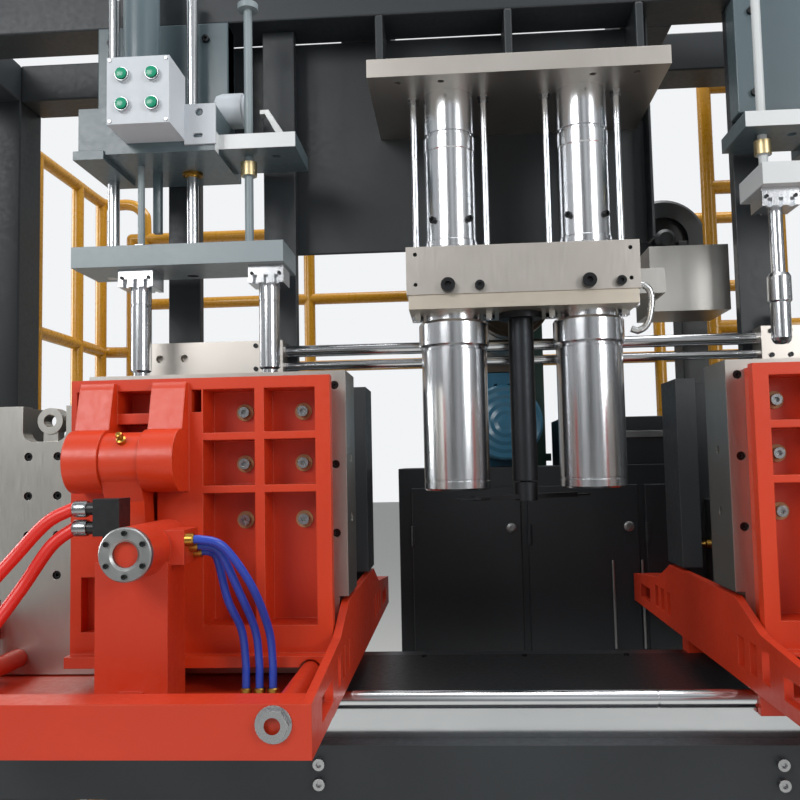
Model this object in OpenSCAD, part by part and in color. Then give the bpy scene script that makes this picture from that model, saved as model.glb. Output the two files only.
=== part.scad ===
// Double-station extrusion blow moulding machine with two die heads.
// The frame has X along the machine, Y from front to rear and Z up from the floor.
// Each station's modules are drawn about its own middle, with +X pointing outwards.

/* [Base] */
// Length of the base frame along X
base_length = 3100; // [3000:10:3300]
// Depth of the base frame along Y
base_depth = 2200; // [2150:10:2400]
// How far the die axis lies in front of the middle of the base
die_setback = 300; // [280:5:320]
// Height of the levelling feet
foot_h = 60; // [40:5:90]
// Side of the square base beams
beam_w = 120; // [100:5:140]
// Height of the top of the bed beams
bed_top = 880; // [870:1:890]
// Distance of each bed beam from the die axis
bed_gap = 250; // [245:1:255]

/* [Gantry] */
// Height of the underside of the gantry beams
gantry_z = 2275; // [2265:5:2320]
// Height of the gantry beams
gantry_h = 120; // [100:5:160]
// Side of the square portal columns
column_w = 130; // [110:5:150]

/* [Die heads] */
// Distance between the two die heads
head_pitch = 300; // [290:2:310]
// Diameter of the polished parison cylinders
parison_d = 116; // [110:1:124]
// Height of the top of the die plate
die_plate_z = 1868; // [1860:1:1876]
// Thickness of the die plate
die_plate_t = 105; // [95:1:110]
// Diameter of the die body
die_d = 146; // [138:1:150]
// Height of the lower end of the die body
die_bottom = 1340; // [1336:1:1350]
// Diameter of the tie rods
rod_d = 16; // [12:1:18]
// Travel of the mandrels
mandrel_travel = 8; // [6:1:10]

/* [Blow stations] */
// Distance from the machine's middle to the middle of each station
station = 720; // [716:1:724]
// Distance between the two blow pins of a station
pin_pitch = 300; // [290:2:306]
// Diameter of the left station's blow pins
pin_d = 47; // [42:1:48]
// Diameter of the guide columns
guide_d = 28; // [24:1:32]
// Underside of the left moving plate
left_plate_z = 1856; // [1840:1:1866]
// Underside of the right moving plate
right_plate_z = 1988; // [1980:1:1996]
// Height of the left pins' tips
left_tip_z = 1600; // [1596:1:1604]
// Height of the right pins' tips
right_tip_z = 1645; // [1640:1:1650]

/* [Mould carriages] */
// Half of the carriage's length along X
car_half = 355; // [350:1:356]
// Height of the top of the front platen
platen_top = 1586; // [1576:1:1592]
// Height of the top of the mould halves
mould_top = 1300; // [1290:1:1302]
// Height of a mould half
mould_h = 345; // [335:1:348]
// Half of a mould's length along X
mould_half = 272; // [265:1:274]
// Thickness of one mould half
mould_t = 110; // [105:1:112]
// Opening stroke of each platen
platen_stroke = 110; // [108:1:112]
// Height of the lever pin above the floor
lever_pin_z = 1415; // [1405:1:1425]
// Diameter of the lever pin
lever_pin_d = 40; // [36:1:42]

/* [Controls] */
// Width of the button box
box_w = 135; // [130:1:150]
// Diameter of a push button
button_d = 20; // [18:0.5:22]
// Travel of a push button
button_travel = 5; // [3:0.5:6]

/* [Hidden] */
$fn = 48;

// clearances
run_gap = 0.3;
fit_gap = 0.1;
part_gap = 3;
eps = 1;

// heights and places that follow from the sizes above
die_y = -die_setback;
base_front = -base_depth / 2 + die_setback;
base_rear = base_depth / 2 + die_setback;
bar_z = bed_top + 70;
bar_r = 17;
rail_top = bed_top + 50;
deck_top = bed_top + 56;
die_plate_low = die_plate_z - die_plate_t;
clamp_plate_low = die_plate_low - 31;
die_r = die_d / 2;
rod_offset = 80;
plate_half_y = 95;
top_plate_t = 40;
top_plate_low = gantry_z - top_plate_t;
car_low = bed_top + 105;
member_top = car_low + 15;
side_t = 15;
guide_rod_z = car_low + 50;
guide_rod_u = 300;
guide_rod_r = 18;
end_beam_y = 640;
end_beam_w = 60;
mould_face = platen_stroke + 0.2;
platen_y = mould_face + mould_t;
platen_t = 40;
casting_y = platen_y + platen_t;
casting_t = 100;
face_y = casting_y + casting_t;
platen_low = car_low + 163;
casting_low = car_low + 57;
casting_top = platen_top - 18;
cheek_w = 45;
cheek_y = platen_y - 100;
lever_foot_z = car_low + 25;
lever_half_swing = platen_stroke / 2;
lever_pin_y = -face_y - 40;
lever_foot_y = lever_pin_y + lever_half_swing;
lever_u = 27;
lever_w = 71;
lug_w = 64;
lug_r = 57;

module at_die() {
    translate([0, die_y, 0]) children();
}

// A station's parts are drawn for the right and mirrored for the left.
module at_station(side) {
    at_die()
        mirror([side < 0 ? 1 : 0, 0, 0])
            translate([station, 0, 0]) children();
}

// A box from its low corner to its high corner.
module block(low, high) {
    translate(low) cube([for (i = [0:2]) high[i] - low[i]]);
}

module along_x(p, r, len) {
    translate(p) rotate([0, 90, 0]) cylinder(r = r, h = len);
}

module along_y(p, r, len) {
    translate(p) rotate([-90, 0, 0]) cylinder(r = r, h = len);
}

module along_z(p, r, len) {
    translate(p) cylinder(r = r, h = len);
}

// An outline in Y and Z, pushed out along X.
module side_profile(points, x, len) {
    translate([x, 0, 0])
        rotate([90, 0, 90])
            linear_extrude(len) polygon(points);
}

// Hoses are swept along a smooth curve through their route points, with straight ends.
hose_sides = 8;
hose_steps = 3;

function bend(a, b, c, d, t) =
    0.5 * ((2 * b) + (c - a) * t + (2 * a - 5 * b + 4 * c - d) * t * t
        + (3 * b - a - 3 * c + d) * t * t * t);

function smooth(p) = [
    for (i = [0:len(p) - 2], s = [0:hose_steps - 1])
        bend(p[max(i - 1, 0)], p[i], p[i + 1], p[min(i + 2, len(p) - 1)], s / hose_steps),
    p[len(p) - 1]
];

function unit(v) = v / norm(v);

// The rings lie square to the route, turned from one fixed reference direction.
function ring(p, i, r, ref) =
    let (
        ahead = unit(p[min(i + 1, len(p) - 1)] - p[max(i - 1, 0)]),
        a = unit(cross(ahead, ref)),
        b = cross(ahead, a)
    )
    [for (k = [0:hose_sides - 1])
        p[i] + r * (a * cos(360 * k / hose_sides) + b * sin(360 * k / hose_sides))];

module hose(route, r, ref) {
    n_route = len(route);
    p = [route[0], each smooth([for (i = [1:n_route - 2]) route[i]]), route[n_route - 1]];
    n = len(p);
    points = [for (i = [0:n - 1]) each ring(p, i, r, ref)];
    walls = [
        for (i = [0:n - 2], k = [0:hose_sides - 1])
            let (m = (k + 1) % hose_sides)
            [i * hose_sides + k, (i + 1) * hose_sides + k, (i + 1) * hose_sides + m, i * hose_sides + m]
    ];
    near_cap = [for (k = [0:hose_sides - 1]) k];
    far_cap = [for (k = [hose_sides - 1:-1:0]) (n - 1) * hose_sides + k];
    polyhedron(points, concat(walls, [near_cap, far_cap]));
}

// Welded base: a beam rectangle on the floor side, posts and the two bed beams.
post_x = [-1200, -420, 420, 1200];
bed_half = 1250;
bed_w = 100;

module base_frame() {
    x0 = base_length / 2;
    low_top = foot_h + beam_w;
    color("#25282b") at_die() {
        for (y = [base_front, base_rear - beam_w])
            block([-x0, y, foot_h], [x0, y + beam_w, low_top]);
        for (x = [-x0, -post_x[2] - beam_w / 2, post_x[2] - beam_w / 2, x0 - beam_w])
            block([x, base_front, foot_h], [x + beam_w, base_rear, low_top]);
        for (y = [-bed_gap, bed_gap]) {
            block([-x0, y - bed_w / 2, foot_h], [x0, y + bed_w / 2, low_top]);
            block([-bed_half, y - bed_w / 2, bed_top - bed_w], [bed_half, y + bed_w / 2, bed_top]);
            for (x = post_x)
                block([x - bed_w / 2, y - bed_w / 2, low_top - eps], [x + bed_w / 2, y + bed_w / 2, bed_top - bed_w + eps]);
        }
    }
}

// Screw feet with round pads, in two rows.
module levelling_feet() {
    x0 = base_length / 2 - beam_w / 2;
    color("#3a3d40") at_die()
        for (x = [-x0, -post_x[2], post_x[2], x0], y = [base_front + beam_w / 2, base_rear - beam_w / 2]) {
            along_z([x, y, 0], 50, 15);
            along_z([x, y, 15 - eps], 16, foot_h - 15 + eps);
        }
}

// Round guide bar on its web, with a joint groove between two lengths.
module front_guide_bar() {
    groove_x = 213;
    color("#c9cdd0") at_die() {
        difference() {
            along_x([-bed_half + 20, -bed_gap, bar_z], bar_r, 2 * bed_half - 40);
            translate([groove_x, -bed_gap, bar_z])
                rotate([0, 90, 0])
                    difference() {
                        cylinder(r = bar_r + 2, h = 3);
                        translate([0, 0, -eps]) cylinder(r = bar_r - 1.5, h = 3 + 2 * eps);
                    }
        }
        block([-bed_half + 20, -bed_gap - 6, bed_top], [bed_half - 20, -bed_gap + 6, bar_z - bar_r / 2]);
    }
}

// Profiled rail along the rear bed beam.
rail_w = 45;

module rear_rail() {
    color("#55595c") at_die()
        difference() {
            block([-bed_half + 20, bed_gap - rail_w / 2, bed_top], [bed_half - 20, bed_gap + rail_w / 2, rail_top]);
            for (y = [bed_gap - rail_w / 2, bed_gap + rail_w / 2])
                block([-bed_half, y - 5, bed_top + 18], [bed_half, y + 5, bed_top + 30]);
        }
}

// Folded deck between the bed beams.
module deck_plate() {
    y0 = bed_gap - bed_w / 2 + 5;
    color("#1c1e20") at_die()
        difference() {
            block([-bed_half, -y0, bed_top], [bed_half, y0, deck_top]);
            block([-bed_half - eps, -y0 + 5, bed_top - eps], [bed_half + eps, y0 - 5, deck_top - 6]);
        }
}

// Portal: four columns on the base, two beams along X and their cross pieces.
front_beam_y = 170;
rear_beam_y = 560;

module portal_frame() {
    x0 = base_length / 2;
    w = column_w;
    color("#2b2f33") at_die() {
        for (x = [-x0, x0 - w], y = [front_beam_y, rear_beam_y])
            block([x, y - w / 2, foot_h + beam_w], [x + w, y + w / 2, gantry_z + eps]);
        for (y = [front_beam_y, rear_beam_y])
            block([-x0, y - w / 2, gantry_z], [x0, y + w / 2, gantry_z + gantry_h]);
        for (x = [-x0, -station / 2 - w / 2, station / 2 - w / 2, x0 - w])
            block([x, front_beam_y, gantry_z], [x + w, rear_beam_y, gantry_z + gantry_h]);
        for (x = [-x0, x0 - w])
            block([x, -bed_gap, foot_h + beam_w], [x + w, rear_beam_y + w / 2, foot_h + beam_w + 60]);
    }
}

// Yellow tube guard rail across the rear, standing on the base.
rail_tube = 21;
rail_posts = [-1400, -700, 620, 1080];

module guard_rail() {
    y = base_rear - beam_w / 2;
    top = 2300;
    color("#d9a22e") at_die() {
        for (x = rail_posts)
            along_z([x, y, foot_h + beam_w], rail_tube, top - foot_h - beam_w);
        for (z = [top, 2040, 1780])
            along_x([rail_posts[0], y, z], rail_tube, rail_posts[3] - rail_posts[0]);
        for (x = [rail_posts[0], rail_posts[3]])
            translate([x, y, top]) sphere(r = rail_tube);
    }
}

// Ground plate that carries the parison cylinders, under the gantry.
module head_top_plate() {
    x0 = head_pitch / 2 + 175;
    color("#b9b7b1") at_die()
        difference() {
            block([-x0, -130, top_plate_low], [x0, front_beam_y + column_w / 2, gantry_z]);
            for (s = [-1, 1], e = [-1, 1])
                along_z([s * head_pitch / 2 + e * rod_offset, 0, top_plate_low - eps],
                    rod_d / 2 + fit_gap, top_plate_t + 2 * eps);
            for (x = [head_pitch / 2 + 15, head_pitch / 2 + 110, -head_pitch / 2 - 15, -head_pitch / 2 - 110])
                along_z([x, -95, top_plate_low - eps], 7, 16);
        }
}

// Four tie rods from the top plate down through the die plate, with nuts.
module head_tie_rods() {
    color("#d4d6d8") at_die()
        for (s = [-1, 1], e = [-1, 1])
            translate([s * head_pitch / 2 + e * rod_offset, 0, 0]) {
                along_z([0, 0, clamp_plate_low - 14], rod_d / 2, gantry_z + 14 - clamp_plate_low);
                translate([0, 0, clamp_plate_low - 12]) cylinder(r = rod_d / 2 + 5, h = 12, $fn = 6);
            }
}

// Polished cylinder with a clamp groove, a foot flange and a bore for the mandrel's rod.
mandrel_rod = 12;
mandrel_low = die_bottom + mandrel_travel;

module parison_cylinder(side) {
    r = parison_d / 2;
    low = die_plate_z;
    color("#d8dadc") at_die()
        translate([side * head_pitch / 2, 0, 0])
            difference() {
                rotate_extrude($fn = 96)
                    polygon([
                        [0, low], [r + 10, low], [r + 10, low + 8], [r + 2, low + 12], [r + 2, low + 26],
                        [r, low + 28], [r, top_plate_low - 134], [r + 1.5, top_plate_low - 132],
                        [r + 1.5, top_plate_low - 102], [r - 3, top_plate_low - 100],
                        [r - 3, top_plate_low - 94], [r, top_plate_low - 92], [r, top_plate_low],
                        [0, top_plate_low]
                    ]);
                along_z([0, 0, low - eps], mandrel_rod + run_gap, 120);
            }
}

// Milled plate that ties both heads, bored for the rods and the mandrels.
plate_half_x = 100;

module head_holes(low, high) {
    for (s = [-1, 1]) {
        along_z([s * head_pitch / 2, 0, low - eps], mandrel_rod + run_gap, high - low + 2 * eps);
        for (e = [-1, 1])
            along_z([s * head_pitch / 2 + e * rod_offset, 0, low - eps],
                rod_d / 2 + fit_gap, high - low + 2 * eps);
    }
}

module die_plate() {
    x0 = head_pitch / 2 + plate_half_x;
    color("#a9a59c") at_die()
        difference() {
            block([-x0, -plate_half_y, die_plate_low], [x0, plate_half_y, die_plate_z]);
            head_holes(die_plate_low, die_plate_z);
            for (s = [-1, 1]) {
                along_y([s * (x0 - 20), -plate_half_y - eps, die_plate_z - 17], 4.5, 14);
                along_y([s * (x0 - 20), -plate_half_y - eps, die_plate_low + 22], 4.5, 14);
            }
        }
}

module head_clamp_plate() {
    x0 = head_pitch / 2 + plate_half_x - 4;
    y0 = plate_half_y - 3;
    color("#8f8c85") at_die()
        difference() {
            block([-x0, -y0, clamp_plate_low], [x0, y0, die_plate_low]);
            head_holes(clamp_plate_low, die_plate_low);
        }
}

// Turned die body: neck, collar with rounded top, groove, long polished body and the die ring.
// The annular gap for the melt opens at its lower end.
melt_r = 30;
melt_h = 220;

module die_head(side) {
    r = die_r;
    collar = r + 5;
    top = clamp_plate_low;
    color("#dcdee0") at_die()
        translate([side * head_pitch / 2, 0, 0])
            rotate_extrude($fn = 96)
                polygon([
                    [mandrel_rod + run_gap, top], [r - 11, top], [r - 11, top - 18], [collar - 8, top - 18],
                    [collar - 3, top - 20], [collar, top - 25], [collar, top - 72], [collar - 3, top - 76],
                    [r - 4, top - 76], [r - 4, top - 82], [r, top - 84], [r, die_bottom + 24],
                    [r - 1, die_bottom + 23], [r - 1, die_bottom + 20], [r, die_bottom + 19],
                    [r, die_bottom + 4], [r - 4, die_bottom], [melt_r, die_bottom],
                    [melt_r, die_bottom + melt_h], [mandrel_rod + run_gap, die_bottom + melt_h + 30]
                ]);
}

// Mandrel: a rod from the parison cylinder down to the flared core of the die.
module mandrel(side) {
    core = melt_r - 3;
    top = die_plate_z + 105;
    color("#b4b6b8") at_die()
        translate([side * head_pitch / 2, 0, 0])
            rotate_extrude($fn = 64)
                polygon([
                    [0, mandrel_low], [core, mandrel_low], [core, mandrel_low + 20],
                    [core - 8, mandrel_low + 60], [core - 8, die_bottom + melt_h - 30],
                    [mandrel_rod, die_bottom + melt_h - 10], [mandrel_rod, top], [0, top]
                ]);
}

// Melt manifold behind the die plate, and the extruder that feeds it.
manifold_rear = 250;
barrel_z = 1815;
barrel_r = 65;
barrel_end = 960;

module melt_manifold() {
    color("#77736c") at_die() {
        difference() {
            block([-200, plate_half_y, die_plate_low + 2], [200, manifold_rear - 20, die_plate_z - 3]);
            for (x = [-150, -50, 50, 150])
                along_z([x, 160, die_plate_z - 20], 12, 30);
        }
        along_y([0, manifold_rear - 20 - eps, barrel_z], 90, 20 + eps);
    }
}

module extruder_barrel() {
    color("#9a9c9e") at_die() {
        along_y([0, manifold_rear, barrel_z], 100, 35);
        along_y([0, manifold_rear + 35 - eps, barrel_z], barrel_r, barrel_end - manifold_rear - 35 + eps);
        difference() {
            block([-110, barrel_end - eps, barrel_z - 115], [110, barrel_end + 140, barrel_z + 115]);
            along_z([0, barrel_end + 70, barrel_z + 60], 42, 60);
        }
    }
}

band_w = 90;
band_pitch = 118;
band_first = 310;
band_count = 5;

module heater_bands() {
    color("#c2beb4") at_die()
        for (i = [0:band_count - 1])
            translate([0, band_first + i * band_pitch, barrel_z])
                rotate([-90, 0, 0]) {
                    difference() {
                        cylinder(r = barrel_r + 18, h = band_w);
                        translate([0, 0, -eps]) cylinder(r = barrel_r + fit_gap, h = band_w + 2 * eps);
                    }
                    translate([-14, -barrel_r - 48, 20]) cube([28, 32, band_w - 40]);
                }
}

// Gear case on its stand behind the barrel, with the motor hung below the barrel.
case_y = barrel_end + 140;

module gearbox() {
    color("#31504a") at_die() {
        difference() {
            block([-160, case_y, 1350], [160, case_y + 200, 1990]);
            for (s = [-1, 1])
                block([s * 160 - 6, case_y + 30, 1420], [s * 160 + 6, case_y + 170, 1920]);
        }
        for (z = [1400, 1940])
            block([-180, case_y + 20, z], [180, case_y + 180, z + 26]);
        for (x = [-140, 80])
            block([x, case_y + 20, foot_h + beam_w], [x + 60, case_y + 180, 1350 + eps]);
        block([-180, case_y - 30, foot_h + beam_w], [180, base_rear - eps, foot_h + beam_w + 25]);
    }
}

motor_r = 115;

module drive_motor() {
    color("#2f6f8c") at_die()
        difference() {
            union() {
                along_y([0, case_y - 380, 1520], motor_r, 360);
                along_y([0, case_y - 20 - eps, 1520], motor_r + 25, 20 + eps);
                block([-50, case_y - 300, 1520 + motor_r - 12], [50, case_y - 160, 1520 + motor_r + 45]);
            }
            for (a = [0:20:340])
                translate([0, case_y - 360, 1520])
                    rotate([-90, a, 0])
                        translate([motor_r - 8, -5, 0]) cube([20, 10, 300]);
        }
}

module feed_hopper() {
    z0 = barrel_z + 115;
    color("#c8ccd0") at_die()
        translate([0, barrel_end + 70, z0])
            rotate_extrude()
                polygon([
                    [42, 0], [70, 0], [70, 12], [50, 16], [50, 60], [220, 260], [220, 560], [235, 560],
                    [235, 566], [0, 600], [0, 594], [214, 562], [214, 263], [42, 62]
                ]);
}

// Stainless heat shield over the manifold's right side.
module heat_shield() {
    z0 = die_plate_low + 4;
    color("#b9bcbe") at_die() {
        difference() {
            block([345, 240, z0], [540, 420, z0 + 165]);
            block([348, 243, z0 + 3], [537, 421, z0 + 162]);
        }
        block([200, 150, z0 + 30], [360, 156, z0 + 90]);
        block([354, 150, z0 + 30], [360, 240, z0 + 90]);
    }
}

// Rotary knife: a bearing tube between the heads and an arm with two blades.
knife_z = die_bottom - 22;
knife_rest = 32;
knife_r = 168;
spindle_r = 12;

module cutter_bearing() {
    color("#3b3e41") at_die()
        rotate_extrude()
            polygon([
                [spindle_r + run_gap, knife_z + 40], [28, knife_z + 40], [28, clamp_plate_low - 14],
                [48, clamp_plate_low - 14], [48, clamp_plate_low], [spindle_r + run_gap, clamp_plate_low]
            ]);
}

module cutter_arm() {
    color("#1b1c1e") at_die()
        rotate([0, 0, knife_rest]) {
            along_z([0, 0, knife_z - 4], 26, 40);
            along_z([0, 0, knife_z], spindle_r, clamp_plate_low - knife_z - 3);
            for (s = [0, 180])
                rotate([0, 0, s]) {
                    block([15, -11, knife_z], [knife_r - 30, 11, knife_z + 10]);
                    translate([0, 0, knife_z + 2])
                        linear_extrude(4)
                            polygon([[100, -11], [knife_r, -18], [knife_r, -4], [130, 16], [100, 11]]);
                }
        }
}

// Twin bars behind the heads that carry the container transfer, between two end blocks.
bars_y = 127;
upper_bar_z = 1677;
lower_bar_z = 1641;
bar_end = 560;

module transfer_bars() {
    color("#c4c8cb") at_die() {
        along_x([-bar_end, bars_y, upper_bar_z], 14, 2 * bar_end);
        along_x([-bar_end, bars_y, lower_bar_z], 10, 2 * bar_end);
    }
}

module transfer_blocks() {
    color("#c3c3bf") at_die()
        for (s = [-1, 1])
            mirror([s < 0 ? 1 : 0, 0, 0]) {
                block([bar_end, 98, 1622], [bar_end + 190, 160, 1702]);
                block([bar_end + 60, 152 - eps, 1622], [bar_end + 130, 192, gantry_z]);
                block([bar_end + 40, 98, 1702 - eps], [bar_end + 60, 140, 1740]);
                block([bar_end + 130, 98, 1702 - eps], [bar_end + 150, 140, 1740]);
            }
}

// Button box on a bracket in front of the left blow unit.
box_x = -872;
box_z = 2128;
box_h = 146;
box_y = -200;
cast_front = -90;
box_d = cast_front - box_y;
button_gap = 65;
button_x = [for (i = [0, 1]) box_x + box_w / 2 + (i - 0.5) * button_gap];
button_z = [for (i = [0, 1]) box_z + box_h / 2 + (0.5 - i) * button_gap];

module button_box() {
    color("#cfd2d2") at_die()
        difference() {
            union() {
                block([box_x, box_y, box_z], [box_x + box_w, box_y + box_d, box_z + box_h]);
                for (x = button_x, z = button_z)
                    along_y([x, box_y - 6, z], button_d / 2 + 5, 6 + eps);
                block([box_x + box_w - eps, box_y + box_d - 6, box_z - 10],
                    [box_x + box_w + 70, box_y + box_d, box_z + 82]);
            }
            for (x = button_x, z = button_z)
                along_y([x, box_y - 6 - eps, z], button_d / 2 + run_gap, 22);
            along_y([box_x + box_w + 33, box_y + box_d - 6 - eps, box_z + 63], 9, 6 + 2 * eps);
            for (x = [box_x + box_w + 24, box_x + box_w + 36])
                along_y([x, box_y + box_d - 6 - eps, box_z + 10], 5, 6 + 2 * eps);
            block([box_x + box_w + 24, box_y + box_d - 6 - eps, box_z + 5],
                [box_x + box_w + 36, box_y + box_d + eps, box_z + 15]);
        }
}

module push_button(i, j) {
    color("#2fa98a") at_die()
        translate([button_x[i], box_y - 6 - button_travel, button_z[j]])
            rotate([-90, 0, 0])
                rotate_extrude()
                    polygon([
                        [0, 0], [button_d / 2 - 2, 0], [button_d / 2, 2],
                        [button_d / 2, 16], [0, 16]
                    ]);
}

// Control cabinet at the right rear corner, with its door on the right side.
cab_x = 1130;
cab_w = 400;
cab_y = 880;
cab_d = 520;
cab_h = 1500;

module control_cabinet() {
    z0 = foot_h + beam_w;
    color("#c9cbc8") at_die()
        difference() {
            block([cab_x, cab_y, z0], [cab_x + cab_w, cab_y + cab_d, z0 + cab_h]);
            block([cab_x + 25, cab_y + 25, z0 + 40], [cab_x + cab_w + eps, cab_y + cab_d - 25, z0 + cab_h - 40]);
        }
}

module cabinet_door() {
    z0 = foot_h + beam_w;
    x0 = cab_x + cab_w + 0.5;
    color("#d2d4d1") at_die() {
        block([x0, cab_y + 8, z0 + 15], [x0 + 18, cab_y + cab_d - 2, z0 + cab_h - 15]);
        along_z([x0 + 9, cab_y + cab_d - 2, z0 + 15], 9, cab_h - 30);
        block([x0 + 17, cab_y + 40, z0 + cab_h / 2 - 70], [x0 + 19, cab_y + 62, z0 + cab_h / 2 + 70]);
    }
}

// Blow unit: a fixed casting under the gantry, bored for the guide columns, with its cylinder.
cast_low = 2105;
cast_top = 2212;
cast_in = -50;
cast_out = 262;
guide_u = [46, 240];
cyl_r = 42;
shelf_in = -225;
stop_gap = 56;

module blow_casting(side) {
    color("#5f7075") at_station(side)
        difference() {
            union() {
                block([cast_in, cast_front, cast_low], [cast_out, 150, cast_top]);
                block([cast_in + 20, front_beam_y - column_w / 2, cast_top - eps], [cast_out - 20, 150, gantry_z]);
                block([cast_out - 60, -96, cast_low - 12], [cast_out + 10, 100, cast_low + 8]);
                block([shelf_in, -60, cast_low + 12], [cast_in + eps, 110, cast_low + 46]);
                along_z([pin_pitch / 2, 0, cast_top - eps], cyl_r, 420);
                along_z([pin_pitch / 2, 0, cast_top + 415], cyl_r + 6, 20);
                along_z([pin_pitch / 2, 0, cast_top - eps], cyl_r + 8, 24);
                block([pin_pitch / 2 - 30, 44, plate_low(side) + plate_t + stop_gap], [pin_pitch / 2 - 12, 62, cast_low + eps]);
            }
            for (u = guide_u)
                along_z([u, 60, cast_low - 20], guide_d / 2 + run_gap, cast_top - cast_low + 40);
            along_z([pin_pitch / 2, 0, cast_low - 20], 8 + run_gap, cast_top + 40 + pin_travel(side) - cast_low + 20);
            along_z([shelf_in + 55, 0, cast_low], 10 + run_gap, 60);
            along_z([cast_in - 55, 0, cast_low], 10 + run_gap, 60);
        }
}

// The plate that carries the pins, with the cylinder's rod and the stop screw.
plate_t = 48;
plate_in = -195;
plate_out = 290;

function plate_low(side) = side < 0 ? left_plate_z : right_plate_z;
function tip_low(side) = side < 0 ? left_tip_z : right_tip_z;
function pin_travel(side) = tip_low(side) - mould_top + 20;
function screw_u(side) = side < 0 ? cast_in - 55 : shelf_in + 55;

module moving_plate(side) {
    z0 = plate_low(side);
    color("#a9b4ba") at_station(side) {
        difference() {
            block([plate_in, -62, z0], [plate_out, 92, z0 + plate_t]);
            for (u = guide_u)
                along_z([u, 60, z0 - eps], guide_d / 2 + fit_gap, plate_t + 2 * eps);
            for (u = [plate_in + 12, plate_out - 12], y = [-50, 80])
                along_z([u, y, z0 + plate_t - 8], 6, 9);
        }
        along_z([pin_pitch / 2, 0, z0 + plate_t - eps], 8, cast_top + 30 + pin_travel(side) - z0 - plate_t);
        along_z([screw_u(side), 0, z0 + plate_t - eps], 10, cast_low + 90 + pin_travel(side) - z0 - plate_t);
        along_z([screw_u(side), 0, cast_low + 46 + run_gap + pin_travel(side)], 24, 14);
        along_z([screw_u(side), 0, cast_low - 34], 15, 34);
    }
}

module guide_columns(side) {
    z0 = plate_low(side);
    color("#caccce") at_station(side)
        for (u = guide_u)
            along_z([u, 60, z0], guide_d / 2, cast_top + 12 + pin_travel(side) - z0);
}

// Pin holders with notched feet, the pins and their hardened tips.
module blow_pins(side) {
    top = plate_low(side);
    tip = tip_low(side);
    hold_h = 42;
    w = 40;
    color("#d9dbdd") at_station(side)
        for (u = [-pin_pitch / 2, pin_pitch / 2]) {
            difference() {
                block([u - w, -38, top - hold_h], [u + w, 38, top]);
                for (k = [-24, 0, 24])
                    block([u + k - 5, -38 - eps, top - hold_h - eps], [u + k + 5, -26, top - 24]);
                for (k = [-24, 24])
                    block([u + k - 5, 26, top - hold_h - eps], [u + k + 5, 38 + eps, top - 24]);
            }
            translate([u, 0, 0])
                if (side < 0)
                    rotate_extrude()
                        polygon([
                            [0, tip], [pin_d / 2 - 7, tip], [pin_d / 2 - 5.5, tip + 3],
                            [pin_d / 2 - 5.5, tip + 20], [pin_d / 2, tip + 25],
                            [pin_d / 2, top - hold_h - 42], [pin_d / 2 - 1.2, top - hold_h - 41],
                            [pin_d / 2 - 1.2, top - hold_h - 37], [pin_d / 2, top - hold_h - 36],
                            [pin_d / 2, top - hold_h + eps], [0, top - hold_h + eps]
                        ]);
                else
                    rotate_extrude()
                        polygon([
                            [0, tip], [14, tip + 2], [19, tip + 7], [21.5, tip + 14], [21.5, tip + 92],
                            [25.5, tip + 96], [25.5, tip + 150], [21, tip + 158], [15, tip + 160],
                            [15, top - hold_h + eps], [0, top - hold_h + eps]
                        ]);
        }
}

// Carriage: two red side plates with slot windows, beams across, guide rods and bearings.
side_flat = 250;

module carriage_side(u) {
    end_y = end_beam_y + end_beam_w;
    half = [[0, 155], [side_flat, 155], [384, 107], [end_y, 78], [end_y, 0], [0, 0]];
    difference() {
        for (s = [-1, 1])
            side_profile([for (p = half) [s * p[0], car_low + p[1]]], u, side_t);
        for (s = [-1, 1], y = [275, 340, 405])
            block([u - eps, s * y - 18, car_low + 28], [u + side_t + eps, s * y + 18, car_low + 84]);
        for (s = [-1, 1])
            block([u - eps, s * 545 - 60, car_low + 24], [u + side_t + eps, s * 545 + 60, car_low + 62]);
    }
}

bearing_half = 27;

module carriage_bearing(u, y0) {
    difference() {
        block([u - 45, y0 - bearing_half, bar_z - 25], [u + 45, y0 + bearing_half, car_low + eps]);
        if (y0 < 0) {
            along_x([u - 45 - eps, y0, bar_z], bar_r + run_gap, 90 + 2 * eps);
            block([u - 45 - eps, y0 - 9, bar_z - 25 - eps], [u + 45 + eps, y0 + 9, bar_z]);
        } else {
            block([u - 45 - eps, y0 - rail_w / 2 - 0.5, bar_z - 25 - eps], [u + 45 + eps, y0 + rail_w / 2 + 0.5, rail_top + 0.4]);
        }
    }
}

pedestal_y = -face_y - 110;
cyl_axis_u = -60;
cyl_axis_z = car_low + 285;
clamp_cyl_r = 42;
clamp_rod_r = 16;
clamp_cyl_len = 190;

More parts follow.
